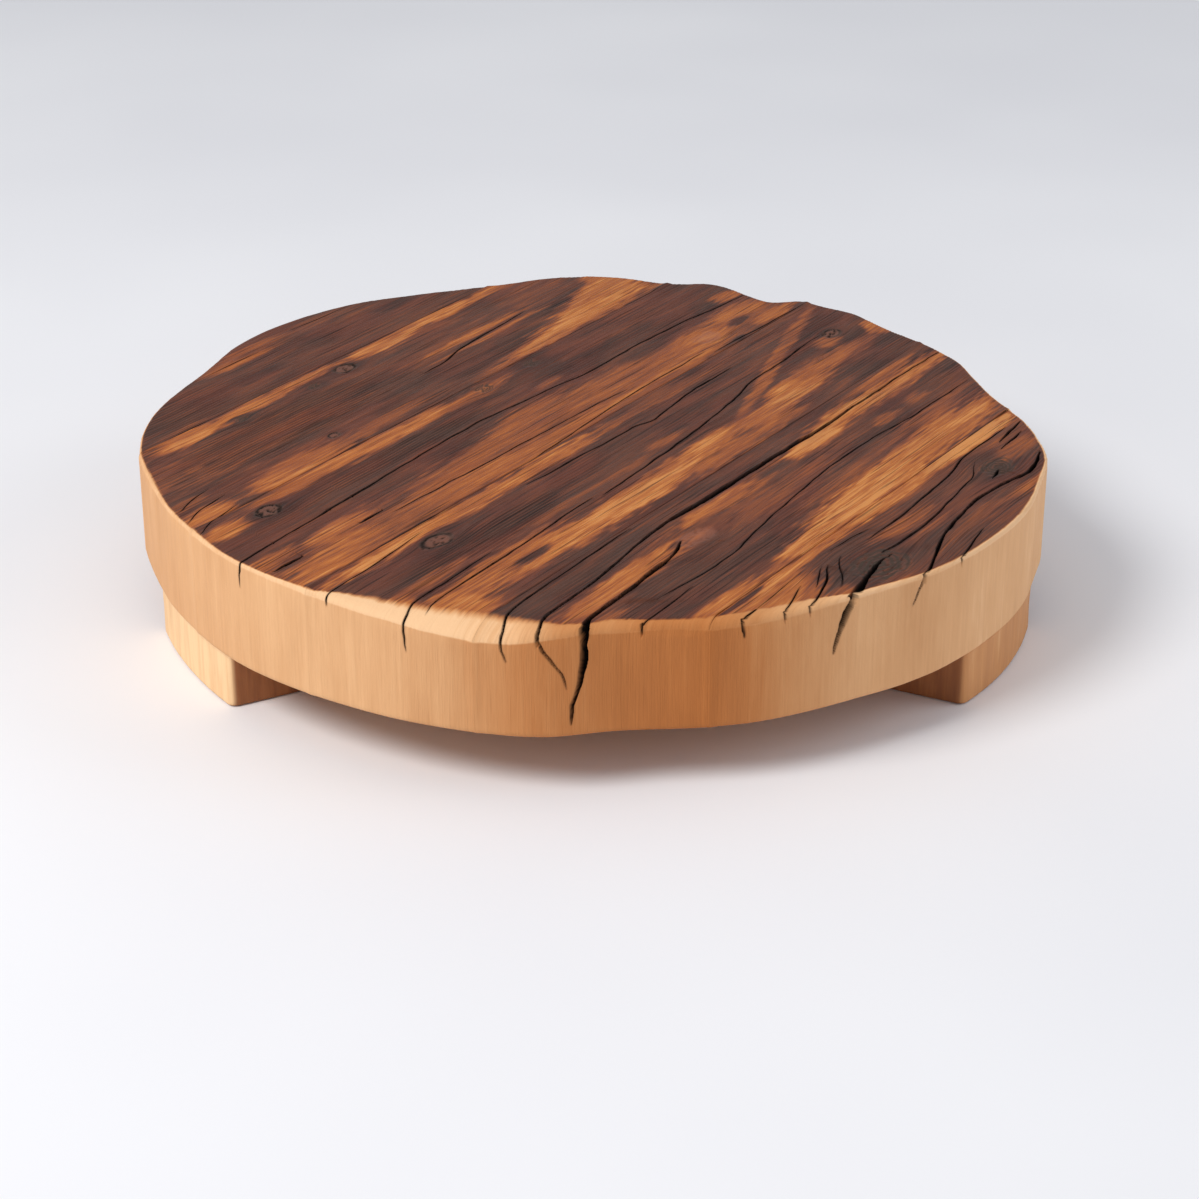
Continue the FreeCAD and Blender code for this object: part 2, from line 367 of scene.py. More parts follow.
# x, y, half-length, half-width, kind
knots = [
    (-43, -156, 14.5, 10, "burnt"), (61, -152, 9, 6.5, "burnt"), (-117, -11.5, 8.5, 5, "pitted"),
    (-131, 57.8, 7.5, 4.2, "pitted"), (-2.4, 125.7, 6, 4, "pitted"), (-25, 123, 4, 2.5, "burnt"),
    (-69, 125, 4, 3, "burnt"), (-61.5, 83, 3.5, 2.5, "pitted"), (12.6, 63.4, 5.5, 4, "burnt"),
    (47.5, 63.4, 5, 3.5, "burnt"), (-60, -89, 11, 5, "red"), (151, -25.3, 5, 4, "pitted"),
    (116, 17.5, 8, 5, "red"),
]
knotLook = {
    "pitting": {"burnt": 0.6, "pitted": 1.5, "red": 0.25},     # depth of the pits
    "strength": 0.92,                                          # of the char on a burnt knot
    "ringShade": 0.85,                                         # char left out on its rings
    "ringLight": 2.4,
    "rimShade": 0.85,                                          # of the dark line round a pitted knot
    "rings": 4.2,                                              # to the half-width
    "ringDepth": 0.3,
    "raggedness": (0.5, 0.35),                                 # along the grain, and all round
    "reach": (1.9, 1.5),                                       # of the bent grain, in half-sizes
    "grainBend": 0.75,
    "shadow": 0.14,                                            # darker wood round the knot
    "edge": (1.12, 0.78),                                      # fades out between these half-sizes
    "border": (0.85, 0.16),                                    # where the dark line lies, and its width
    "hollow": 0.25,
}


def knotFields(x, y):
    # how strongly each kind shows, the hollows, the sideways push on the grain, the shadow round the knot
    # and the dark line round it
    burnt, red, hollow, shift, shadow, darkLine = (np.zeros_like(x) for _ in range(6))
    streakShare, roundShare = knotLook["raggedness"]
    nearLength, nearWidth = knotLook["reach"]
    borderPlace, borderWidth = knotLook["border"]
    for number, (knotX, knotY, length, width, kind) in enumerate(knots):
        alongX, alongY = (x - knotX) / length, (y - knotY) / width
        streaky = streakShare * (layeredNoise(x / 9, y / 1.6, 520 + number) - 0.5)
        wobble = roundShare * (layeredNoise(x / 5, y / 5, 500 + number, 2) - 0.5)
        rounded = np.hypot(alongX, alongY) + wobble
        inside = smoothStep(*knotLook["edge"], rounded + streaky)
        near = np.exp(-(alongX / nearLength) ** 2 - (alongY / nearWidth) ** 2)
        shift -= knotLook["grainBend"] * (y - knotY) * near
        pits = smoothStep(0.58, 0.72, layeredNoise(x / 1.6, y / 1.3, 540 + number))
        rings = (0.5 + 0.5 * np.sin(2 * math.pi * knotLook["rings"] * rounded)) ** 1.5
        relief = knotLook["pitting"][kind] * pits + knotLook["ringDepth"] * rings
        hollow += inside * (knotLook["hollow"] + relief)
        if kind == "burnt":
            heart = inside * (knotLook["strength"] - knotLook["ringShade"] * rings)
        else:
            border = np.exp(-((rounded - borderPlace) / borderWidth) ** 2)
            heart = np.maximum(0.8 * border, inside * (0.2 + 0.7 * pits)) * (kind == "pitted")
            patchy = smoothStep(0.3, 0.6, layeredNoise(x / 4, y / 4, 560 + number))
            lined = np.maximum(border * patchy, inside * pits) * (kind == "pitted")
            darkLine = np.maximum(darkLine, knotLook["rimShade"] * lined)
            red = np.maximum(red, inside * (1 - 0.6 * pits))
        shadow = np.maximum(shadow, near * (kind != "red"))
        shadow = shadow - knotLook["ringLight"] * inside * rings * (kind == "burnt")
        burnt = np.maximum(burnt, heart)
    return burnt.clip(0, 1), red, hollow, shift, shadow, darkLine


# x, y, half-length, half-width, lightness from 0 for charred to 1 for clean wood, and slope if it has one
streaks = {
    "plank_1": {"base": 0.3, "light": [
        (-22, 168.5, 22, 3.4, 0.62), (-4, 173, 22, 3.6, 0.5), (30, 170, 30, 3, 0.36),
        (90, 145, 16, 4, 0.34), (-28, 150, 14, 4, 0.2), (72, 156, 12, 3, 0.16),
        (-95, 137.5, 16, 2, 0.42)]},
    "plank_2": {"base": 0.29, "light": [
        (-92, 106, 60, 16, 0.42), (10, 112, 70, 10, 0.34), (-95, 130, 22, 5, 0.85),
        (-60, 130.5, 22, 4, 0.8), (-25, 131.5, 24, 3.2, 0.72), (-118, 106, 5, 2.5, 0.6),
        (-148, 73, 14, 7, 0.74), (-146, 86, 12, 3, 0.5), (-90, 74, 30, 9, 0.66), (-92, 70, 28, 4, 0.76),
        (30, 130, 24, 4.6, 0.85), (72, 131, 34, 4, 0.88), (110, 131.5, 18, 3, 0.75),
        (63, 104.5, 34, 2.6, 0.72), (60, 97.5, 42, 1.2, 0.6), (60, 116, 18, 8, 0.38),
        (118, 114, 26, 14, 0.38), (-100, 112, 22, 6, 0.4), (-40, 76, 26, 4, 0.5), (33, 70, 14, 5, 0.45),
        (74, 73, 34, 4.5, 0.82), (100, 76, 34, 8, 0.84), (130, 80, 34, 11, 0.84),
        (144, 90, 20, 10, 0.78), (152, 101, 10, 7, 0.66), (118, 88, 30, 3.5, 0.82, 0.32)]},
    "plank_3": {"base": 0.27, "light": [
        (-166, 28, 16, 5, 0.72), (0, 14, 210, 15, 0.5), (-155, 58, 12, 5, 0.76),
        (-100, 64, 38, 4.8, 0.72), (-50, 63.5, 54, 4.4, 0.76), (4, 62, 20, 4, 0.6),
        (-130, 26, 18, 5.5, 0.74), (-75, 17, 34, 6, 0.62, 0.1), (-44, 23, 42, 7, 0.6, 0.14),
        (-12, 27, 34, 8.5, 0.57, 0.12), (14, 25, 28, 9, 0.52), (-146, 10, 34, 8, 0.72),
        (-80, 9, 62, 6.5, 0.6), (-20, 9, 52, 5.5, 0.66), (38, 24, 30, 8, 0.52), (60, 22, 36, 9, 0.6),
        (75, 13, 36, 4, 0.6), (112, 17, 18, 7, 0.7), (90, 31, 20, 5, 0.25), (70, 8.5, 44, 2, 0.75),
        (150, 24, 19, 6.5, 0.68), (165, 38, 10, 5, 0.7), (158, 9, 17, 4.5, 0.68),
        (34, 44, 10, 2.5, 0.5), (110, 55, 40, 4, 0.36), (-95, 50, 30, 4, 0.36), (141, 17, 8, 2.5, 0.15),
        (123, 5, 5, 2, 0.15)]},
    "plank_4": {"base": 0.28, "light": [
        (-158, -50, 18, 12, 0.82), (-168, -34, 10, 6, 0.76), (-118, -2.5, 60, 5, 0.94),
        (-40, -3, 58, 4.2, 0.8), (40, -4, 44, 3, 0.55), (-140, -29, 20, 3.4, 0.56),
        (-120, -43, 38, 6, 0.74), (-60, -50, 80, 7, 0.82), (-30, -52, 60, 4.6, 0.9),
        (-107, -47.5, 12, 2.5, 0.25), (20, -46, 38, 5, 0.82), (60, -49, 50, 5.5, 0.72),
        (86, -44, 18, 7, 0.88), (120, -41, 36, 5, 0.66), (20, -58, 42, 5, 0.6), (9, -30, 12, 3, 0.55),
        (103, -24, 74, 3.4, 0.58, 0.325), (141, -29, 8, 4, 0.62), (170, -38, 7, 7, 0.8),
        (60, -3, 70, 2.5, 0.42), (-60, -33, 60, 2.2, 0.42)]},
    "plank_5": {"base": 0.28, "light": [
        (-4, -94, 42, 7, 0.44), (-108, -87, 40, 5.5, 0.78), (-30, -81, 30, 4.6, 0.74),
        (12, -80, 16, 1.6, 0.25), (42, -80, 22, 5, 0.85), (95, -76, 64, 5.5, 0.86),
        (80, -92, 10, 3, 0.55), (106, -91, 9, 3, 0.5), (90, -105, 36, 5.5, 0.5),
        (-30, -126, 40, 7, 0.88, 0.06), (20, -121, 46, 10, 0.95), (80, -119, 48, 9, 0.84),
        (-100, -126, 24, 4.5, 0.76), (20, -108, 40, 3.5, 0.5), (-136, -98, 12, 2.4, 0.6),
        (120, -68, 30, 2.6, 0.6)]},
    "plank_6": {"base": 0.35, "light": [
        (-94, -141, 29, 13, 0.78), (-104, -136, 24, 5.5, 0.82), (-70, -132.5, 40, 3.5, 0.84),
        (-98, -130.9, 16, 1.3, 0.2), (76, -131.5, 42, 5, 1.1), (10, -132.6, 50, 3.4, 0.86),
        (-72, -158, 9, 4, 0.66), (-8, -148, 20, 3.6, 0.6), (-6, -156.4, 16, 1.6, 0.5),
        (82, -150, 14, 5, 0.56), (90, -142, 20, 3, 0.45), (62, -170, 30, 3, 0.66),
        (12, -167, 34, 4, 0.46), (-54, -167, 10, 3, 0.55)]},
}
streakLook = {
    "bend": 2.6,
    "softness": (1.38, 0.58),     # where a streak starts and where it is whole, against its half-widths
    "feathering": 0.7,
    "fineFeathers": 0.7,
    "blotches": 0.14,
    "variation": 0.1,
}


def lightness(name, x, y):
    seed = 40 + 10 * plankNames.index(name)
    tone = streaks[name]["base"] + streakLook["blotches"] * (layeredNoise(x / 26, y / 5, seed) - 0.5)
    tone += streakLook["blotches"] * (layeredNoise(x / 60, y / 16, seed + 1) - 0.5)
    bend = streakLook["bend"] * (layeredNoise(x / 34, y / 14, seed + 2) - 0.5)
    feather = layeredNoise(x / 18, y / 1.5, seed + 3) - 0.5
    feather = feather + streakLook["fineFeathers"] * (cellNoise(x / 6, y / 0.9, seed + 4) - 0.5)
    varied = streakLook["variation"] * (layeredNoise(x / 20, y / 2.2, seed + 5) - 0.5)
    for centreX, centreY, length, width, light, *slope in streaks[name]["light"]:
        rise = sum(slope) * (x - centreX)
        far = np.hypot((x - centreX) / length, (y + bend - centreY - rise) / width)
        cover = smoothStep(*streakLook["softness"], far + streakLook["feathering"] * feather)
        tone = tone * (1 - cover) + (light + varied) * cover
    return tone


wallWoodAndPaintedLight = {
    # polar degrees, how orange the wall is and how light: partly the wood's own colour and partly painted
    # light, lighter to the left and right, darker and more orange at the front
    "orange": [(0, 0.3), (90, 0.3), (139, 0.25), (180, 0.15), (198, 0.35), (206, 0.75), (214, 0.8),
        (228, 0.95), (234, 0.75), (240, 0.5), (247, 0.28), (256, 0.28), (266, 0.2), (280, 0.16),
        (300, 0.16), (330, 0.2), (360, 0.3)],
    "light": [(0, 0.7), (90, 0.6), (139, 0.75), (180, 0.85), (196, 0.74), (206, 0.6), (214, 0.53),
        (224, 0.4), (230, 0.47), (236, 0.6), (242, 0.68), (248, 0.84), (254, 0.78), (262, 0.82),
        (270, 0.88), (300, 0.88), (330, 0.8), (360, 0.7)],
    "facetShade": 0.14,
    "underOrange": 0.6,
    "underTone": 0.62,
}
plankMesh = {
    "rimSteps": 9,            # columns across the outermost part of the edge
    "rimSpan": 4.0,
    "rimZone": 13.0,          # finer columns to here from the wall
    "rimZoneSteps": 20,
    "middleColumns": 300,
    "rows": 186,
    "capColumns": 390,
    "capRows": 172,
    "wallSteps": 62,
    "wallGather": 2.2,
    "bottomRound": 2.0,
    "bottomRoundSteps": 4,
    "bottomColumns": 10,
    "seamRound": 0.4,
    "endTurn": 6.0,           # length at each end of a cap plank where the wall is worn along the seam
    "grainRelief": 0.34,
    "ringRelief": 0.26,
    "ringGap": 1.7,
    "ringTone": 0.2,          # how much darker a raised ring is
    "planeRelief": 0.6,
    "sawRelief": 0.10,
    "wallWave": 0.5,
    "wallFacet": 17.0,        # width of the long soft flats down the wall
    "samples": 500,           # taken across a plank to see where the rows are needed
    "seamFade": 2.5,          # the wall is left smooth this close to a seam
    "leastFacing": 0.3,       # limits the push where the wall turns away from the rows
    "wallJoin": 3.0,          # depth over which the edge's relief passes into the wall's
    # how much denser the mesh lines lie, and within how many millimetres
    "endGather": [(1.5, 12)],
    "rimGather": [(3, 1.2), (20, 0.12)],
    "seamGather": [(2, 0.6)],
    "besideRim": (1.2, 12),
    # x, y, half-length, half-width
    "washboard": [(-66, 105, 66, 17), (-100, -24, 50, 9), (-60, 50, 60, 6)],
}


def gatherRows(low, high, count, density):
    # row places for each column, closer together where the density is high
    share = np.linspace(0, 1, density.shape[1])
    wanted = np.linspace(0, 1, count)
    between = np.cumsum((density[:, 1:] + density[:, :-1]) / 2, axis=1)
    filled = np.concatenate([np.zeros((len(density), 1)), between], axis=1)
    filled /= filled[:, -1:]
    places = np.array([np.interp(wanted, column, share) for column in filled])
    return low[:, None] + (high - low)[:, None] * places


def wallGather(values, along):
    # extra mesh density, along x or y, where a split runs down the wall
    density = np.zeros_like(values)
    for split in splits:
        if "drop" in split:
            sideways = np.array(split["drop"], float)[:, 0]
            turn = np.radians(split["polar"])
            radius = aroundRim(split["polar"], rimRadii)
            start, onward = radius * math.sin(turn), math.cos(turn)
            if along == "x":
                start, onward = radius * math.cos(turn), -math.sin(turn)
            middle = start + onward * (sideways.max() + sideways.min()) / 2
            spread = 1.2 + abs(onward) * np.ptp(sideways) / 2
            density += np.exp(-((values - middle) / spread) ** 4)
    return plankMesh["wallGather"] * density


def gathered(distance, gathers):
    return sum(more * np.exp(-distance / within) for more, within in gathers)


def splitDensity(x, y):
    density = np.ones_like(x)
    for split in splits:
        if split["y"].min() - 8 > y.max() or split["y"].max() + 8 < y.min():
            continue
        within = (x > split["x"][0] - splitting["overrun"]) & (x < split["x"][-1])
        width = splitWidth(split, x) * within
        close = np.exp(-((y - splitLine(split, x)) / (0.5 + width / 2)) ** 2)
        density += splitting["rowGather"] * np.minimum(1, width / 0.3) * close
    return density


def ripples(name, x, across):
    # worn growth rings, where they stand up
    seed = 706 + 10 * plankNames.index(name)
    wavering = across + 4 * layeredNoise(x / 80, across / 24, seed, 2)
    shown = 0.6 * smoothStep(0.42, 0.7, layeredNoise(x / 40, across / 12, seed + 1, 2))
    for centreX, centreY, length, width in plankMesh["washboard"]:
        far = np.hypot((x - centreX) / length, (across - centreY) / width)
        shown = np.maximum(shown, smoothStep(1.2, 0.7, far))
    return shown * (0.5 + 0.5 * np.sin(2 * math.pi * wavering / plankMesh["ringGap"]))


def seamDarkness(x, y):
    shade = np.zeros_like(x)
    for name, shares in zip(plankNames, seamShades):
        near = np.abs(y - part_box(name)[0].y / toMetres) < plankMesh["seamRound"]
        patchy = 0.55 + 0.9 * (layeredNoise(x[near] / 12, x[near] * 0, 900, 2) - 0.15)
        shade[near] = readTable(x[near], shares) * patchy
    return shade.clip(0, 1)


# the dark field holds painted shade inside splits, together with the dark stains beside them, dark seam
# lines and dark lines round knots
def woodFields(tone, orange, gouge=0, burnt=0, red=0, edge=1):
    given = {"tone": tone, "gouge": gouge, "burnt": burnt, "red": red, "edge": edge, "orange": orange}
    return {key: tone * 0 + value for key, value in given.items()}


def surfaceOffset(name, x, y, distance, angle, lean, seamGap):
    # how far the top surface lies in from its smooth shape, with the fields that colour it
    seed = 700 + 10 * plankNames.index(name)
    burnt, red, hollow, shift, shadow, darkLine = knotFields(x, y)
    across = y + shift
    grain = layeredNoise(x / 38, across / 1.5, seed) * 0.6
    grain = grain + layeredNoise(x / 12, across / 0.9, seed + 1, 2) * 0.4
    waves = layeredNoise(x / 30, across / 11, seed + 2, 2)
    ripple = ripples(name, x, across)
    tone = lightness(name, x, across) - plankMesh["ringTone"] * ripple - knotLook["shadow"] * shadow
    rough = np.interp(tone, [0.3, 0.8], [1.0, 0.6])
    offset = (plankMesh["grainRelief"] * grain + plankMesh["ringRelief"] * ripple) * rough
    offset += plankMesh["planeRelief"] * waves
    # dark is painted shade inside the splits and a dark stain beside them, with the dark lines round knots
    depth, dark = topSplits(x, y)
    upright = smoothStep(*topEdge["turnsUpright"], lean)
    wallDepth, wallDark = wallSplits(angle, np.zeros_like(angle))
    flatShare, wallShare = np.minimum(1, 2 - 2 * upright), np.minimum(1, 2 * upright)
    depth = np.maximum(depth * flatShare, wallDepth * wallShare)
    dark = np.maximum(np.maximum(dark * flatShare, wallDark * wallShare), darkLine)
    seam = np.clip(1 - seamGap / plankMesh["seamRound"], 0, 1)
    offset += depth + hollow * 0.5 + plankMesh["seamRound"] * 1.2 * seam**2
    paleWidth = readTable(angle, topEdge["paleWidths"])
    paleWidth = paleWidth * (0.9 + 0.2 * layeredNoise(angle * 1.5, angle * 0, 11))
    ragged = topEdge["raggedness"] * (layeredNoise(x / 9, y / 1.6, seed + 4) - 0.5)
    wide = smoothStep(*topEdge["wideFrom"], paleWidth)
    narrowSoft, wideSoft = topEdge["softness"]
    soft = narrowSoft + wideSoft * wide
    edge = smoothStep(soft, -soft, distance - paleWidth + ragged * np.minimum(1, paleWidth / 2))
    dark = np.maximum(dark, seamDarkness(x, y) * seam**0.6 * (1 - 0.6 * edge))
    # the pale edge is the wall's wood, with a painted highlight that makes it lighter and paler than the
    # wall
    rimToneWithHighlight = readTable(angle, wallWoodAndPaintedLight["light"])
    rimToneWithHighlight = rimToneWithHighlight + np.interp(wide, [0, 1], topEdge["highlightLighterThanWall"])
    tone = tone * (1 - edge) + rimToneWithHighlight * edge
    orange = readTable(angle, wallWoodAndPaintedLight["orange"]) * (1 - topEdge["highlightPalerThanWall"] * wide)
    return offset, woodFields(tone, orange, dark, burnt * (1 - edge), red, edge), shift


def wallOffset(angle, below):
    # how far the wall lies in from its smooth shape, how dark it is, and where its soft flats are
    around = np.radians(angle) * meanRadius
    saw = layeredNoise(around / 1.1 + below * 0.06, below / 30, 820, 3)
    facet = layeredNoise(around / plankMesh["wallFacet"], below / 70, 830, 2)
    depth, dark = wallSplits(angle, below - edgeDepth(angle))
    return plankMesh["sawRelief"] * saw + plankMesh["wallWave"] * facet + depth, dark, facet


def wallRows(angle):
    # depth below the top and step in from the wall, to the foot of the rounded bottom edge, for each column
    low = slabTop - slabBottom - plankMesh["bottomRound"]
    start = edgeDepth(angle)[:, None]
    straight = start + (low - start) * np.linspace(0, 1, plankMesh["wallSteps"])
    turn = np.linspace(0, math.pi / 2, plankMesh["bottomRoundSteps"] + 1)[1:]
    turned = np.repeat(turn[None, :], len(straight), axis=0)
    below = np.concatenate([straight, low + plankMesh["bottomRound"] * np.sin(turned)], axis=1)
    inset = np.concatenate([straight * 0, plankMesh["bottomRound"] * (1 - np.cos(turned))], axis=1)
    return below, inset


def gridFaces(indices):
    first, second = indices[:-1, :-1], indices[1:, :-1]
    return np.stack([first, second, indices[1:, 1:], indices[:-1, 1:]], axis=-1).reshape(-1, 4)


def capGrid(low, high, isBack):
    # columns run from the seam to the wall
    seamY = low.y if isBack else high.y
    leftX, rightX = rimCrossing(seamY, "left")[0], rimCrossing(seamY, "right")[0]
    acrossX = np.linspace(leftX, rightX, 2 * plankMesh["samples"])
    density = 1 + wallGather(acrossX, "x") * (not isBack)
    density += gathered(np.minimum(acrossX - leftX, rightX - acrossX), plankMesh["endGather"])
    ends = np.array([leftX]), np.array([rightX])
    columnX = gatherRows(*ends, plankMesh["capColumns"], density[None, :])[0]
    wallY, facing = rimCrossing(columnX, "back" if isBack else "front")
    wallY[[0, -1]] = seamY
    fineX = np.repeat(columnX[:, None], plankMesh["samples"], axis=1)
    fineY = seamY + (wallY - seamY)[:, None] * np.linspace(0, 1, plankMesh["samples"])
    distance = rimDistance(fineX, fineY)[0].clip(0)
    more, within = plankMesh["besideRim"]
    density = splitDensity(fineX, fineY) + more * (distance < within)
    density += gathered(distance, plankMesh["rimGather"])
    density += gathered(np.abs(fineY - seamY), plankMesh["seamGather"])
    y = gatherRows(np.full_like(columnX, seamY), wallY, plankMesh["capRows"], density)
    x = np.repeat(columnX[:, None], y.shape[1], axis=1)
    fromEnd = np.minimum(columnX - leftX, rightX - columnX)
    squarely = smoothStep(0, plankMesh["endTurn"], fromEnd)
    sideways = np.maximum(np.sqrt(np.maximum(1 - facing**2, 0)), plankMesh["leastFacing"])
    inwardX = -np.sign(columnX) * (1 - squarely) / sideways
    inwardY = -np.sign(wallY - seamY) * squarely / np.maximum(np.abs(facing), plankMesh["leastFacing"])
    inward = inwardX[:, None] + y * 0, inwardY[:, None] + y * 0
    sideFade = np.minimum(1, fromEnd / plankMesh["seamFade"])[:, None] + y * 0
    return x, y, np.abs(y - seamY), inward, sideFade


def middleGrid(low, high):
    # rows run along the plank from wall to wall
    turn = np.linspace(0, math.pi / 2, plankMesh["rimSteps"])
    outer = plankMesh["rimSpan"] * (1 - np.cos(turn))
    inner = np.linspace(plankMesh["rimSpan"], plankMesh["rimZone"], plankMesh["rimZoneSteps"] + 1)[1:]
    rimPlaces = np.concatenate([outer, inner])
    share = np.linspace(0, 1, plankMesh["middleColumns"])

    def rowX(y):
        (leftX, leftFacing), (rightX, rightFacing) = rimCrossing(y, "left"), rimCrossing(y, "right")
        left = leftX + rimPlaces[:, None] / np.abs(leftFacing)
        right = rightX - rimPlaces[::-1, None] / np.abs(rightFacing)
        middle = left[-1] + (right[0] - left[-1]) * share[:, None]
        return np.concatenate([left[:-1], middle, right[1:]])

    fineY = low.y + (high.y - low.y) * np.linspace(0, 1, plankMesh["samples"])
    fineX = rowX(fineY)
    allY = np.repeat(fineY[None, :], len(fineX), axis=0)
    toSeam = np.minimum(allY - low.y, high.y - allY)
    density = splitDensity(fineX, allY) + gathered(toSeam, plankMesh["seamGather"])
    nearWall = smoothStep(plankMesh["rimZone"] + 6, plankMesh["rimZone"], rimDistance(fineX, allY)[0])
    density += wallGather(allY, "y") * nearWall * (fineX < 0)
    ends = np.full(len(fineX), low.y), np.full(len(fineX), high.y)
    y = gatherRows(*ends, plankMesh["rows"], density)
    x = np.stack([rowX(y[column])[column] for column in range(len(y))])
    seamGap = np.minimum(y - low.y, high.y - y)
    facing = np.where(x < 0, rimCrossing(y, "left")[1], rimCrossing(y, "right")[1])
    inward = -np.sign(x) / np.maximum(np.abs(facing), plankMesh["leastFacing"]), np.zeros_like(y)
    wallShare = smoothStep(20, 2, rimDistance(x, y)[0])
    sideFade = 1 - wallShare * (1 - np.minimum(1, seamGap / plankMesh["seamFade"]))
    return x, y, seamGap, inward, sideFade


topFaces, wallFaces, underFaces, seamFaces = range(4)


def buildPlank(name):
    low, high = (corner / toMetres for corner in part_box(name))
    isBack, isFront = name == plankNames[0], name == plankNames[-1]
    isCap = isBack or isFront
    x, y, seamGap, inward, sideFade = capGrid(low, high, isBack) if isCap else middleGrid(low, high)
    distance, angle = rimDistance(x, y)
    distance = distance.clip(0)
    fall, lean = edgeProfile(distance, angle)
    offset, fields, shift = surfaceOffset(name, x, y, distance, angle, lean, seamGap)
    offset = offset * sideFade
    points, colours, faces, kinds = [], {}, [], []

    def addPoints(x, y, z, fields):
        first = sum(len(block) for block in points)
        points.append(np.stack([x, y, z], axis=-1).reshape(-1, 3))
        for key, value in fields.items():
            colours.setdefault(key, []).append(value.reshape(-1))
        return first + np.arange(x.size).reshape(x.shape)

    def addFaces(indices, kind):
        faces.append(gridFaces(indices))
        kinds.append(np.full(len(faces[-1]), kind))

    topX = x + inward[0] * offset * lean
    topY = y + inward[1] * offset * lean
    topZ = slabTop - fall - offset * np.cos(lean * math.pi / 2)
    top = addPoints(topX, topY, topZ, fields)
    addFaces(top, topFaces)

    walls, wallGrains = [], []
    for where in [(slice(None), -1)] if isCap else [(0, slice(None)), (-1, slice(None))]:
        depths, inset = wallRows(angle[where])
        angles = np.repeat(angle[where][:, None], depths.shape[1], axis=1)
        cut, dark, facet = wallOffset(angles, depths)
        joined = smoothStep(0, plankMesh["wallJoin"], depths - depths[:, :1])
        cut = (cut * joined + offset[where][:, None] * (1 - joined)) * sideFade[where][:, None] + inset
        wallX = x[where][:, None] + inward[0][where][:, None] * cut
        wallY = y[where][:, None] + inward[1][where][:, None] * cut
        if isBack:
            wallY = np.maximum(wallY, low.y)
        if isFront:
            wallY = np.minimum(wallY, high.y)
        # painted light: the wall's tone follows how light falls round it, with painted shade on its soft
        # flats
        light = readTable(angles, wallWoodAndPaintedLight["light"]) - wallWoodAndPaintedLight["facetShade"] * (facet - 0.5)
        # dark is painted shade inside the splits that run down the wall, with a dark stain beside them
        fields = woodFields(light, readTable(angles, wallWoodAndPaintedLight["orange"]), dark)
        fields = {key: value[:, 1:] for key, value in fields.items()}
        lower = addPoints(wallX[:, 1:], wallY[:, 1:], slabTop - depths[:, 1:], fields)
        walls.append(np.concatenate([top[where][:, None], lower], axis=1))
        wallGrains.append(np.stack([depths, np.radians(angles) * meanRadius], axis=-1))
        addFaces(walls[-1], wallFaces)

    # underside, from the seam to the wall or from wall to wall, and the seam faces that close the solid
    allPoints = np.concatenate(points)
    steps = np.linspace(0, 1, plankMesh["bottomColumns"])
    if isCap:
        foot = walls[0][:, -1]
        seamY = low.y if isBack else high.y
        underX = np.repeat(allPoints[foot, 0][:, None], len(steps) - 1, axis=1)
        underY = seamY + (allPoints[foot, 1] - seamY)[:, None] * steps[:-1]
    else:
        leftFoot, rightFoot = walls[0][:, -1], walls[1][:, -1]
        underX, underY = (allPoints[leftFoot, axis][:, None] * (1 - steps[1:-1])
                          + allPoints[rightFoot, axis][:, None] * steps[1:-1] for axis in (0, 1))
    underTone = wallWoodAndPaintedLight["underTone"] + 0.2 * (layeredNoise(underX / 50, underY / 3, 870) - 0.5)
    fields = woodFields(underTone, wallWoodAndPaintedLight["underOrange"])
    under = addPoints(underX, underY, underX * 0 + slabBottom, fields)
    if isCap:
        under = np.concatenate([under, foot[:, None]], axis=1)
        loops = [np.concatenate([top[:, 0], walls[0][-1, 1:-1], under[::-1, 0], walls[0][0, -2:0:-1]])]
    else:
        under = np.concatenate([leftFoot[:, None], under, rightFoot[:, None]], axis=1)
        left, right = walls
        loops = [np.concatenate([top[:, row], right[row, 1:-1], under[row, ::-1], left[row, -2:0:-1]])
                 for row in (0, -1)]
    addFaces(under, underFaces)

    points = np.concatenate(points)
    mesh = bpy.data.meshes.new(name.replace("_", "") + "Mesh")
    quads = np.concatenate(faces)
    allFaces = quads.tolist() + [loop.tolist() for loop in loops]
    mesh.from_pydata((points * toMetres).tolist(), [], allFaces)
    for key, blocks in colours.items():
        writeField(mesh, key, np.concatenate(blocks))

    # the grain map: along the streaks, then across them
    topGrain, wallGrain = np.zeros((len(points), 2)), np.zeros((len(points), 2))
    topGrain[top] = np.stack([x, y + shift], axis=-1)
    for indices, places in zip(walls, wallGrains):
        wallGrain[indices] = places
    corners = np.zeros(len(mesh.loops), np.int32)
    mesh.loops.foreach_get("vertex_index", corners)
    kinds = np.concatenate([*kinds, np.full(len(loops), seamFaces)])
    cornerKinds = np.repeat(kinds, [len(face) for face in allFaces])[:, None]
    grain = np.where(cornerKinds == topFaces, topGrain[corners], points[corners][:, :2])
    grain = np.where(cornerKinds == wallFaces, wallGrain[corners], grain)
    grain[:, 0] += 700 * plankNames.index(name) * (cornerKinds[:, 0] != wallFaces)    # no two planks alike
    grain = (grain * toMetres).astype(np.float32).reshape(-1)
    mesh.uv_layers.new(name="grain").data.foreach_set("uv", grain)
    mesh.polygons.foreach_set("use_smooth", kinds < underFaces)

    tidy = bmesh.new()
    tidy.from_mesh(mesh)
    bmesh.ops.remove_doubles(tidy, verts=tidy.verts, dist=0.002 * toMetres)
    bmesh.ops.dissolve_degenerate(tidy, edges=tidy.edges, dist=0.001 * toMetres)
    bmesh.ops.recalc_face_normals(tidy, faces=tidy.faces)
    tidy.to_mesh(mesh)
    tidy.free()
    board = newPiece(f"board_{name[-1]}", mesh)
    placePiece(board, name)
    return board


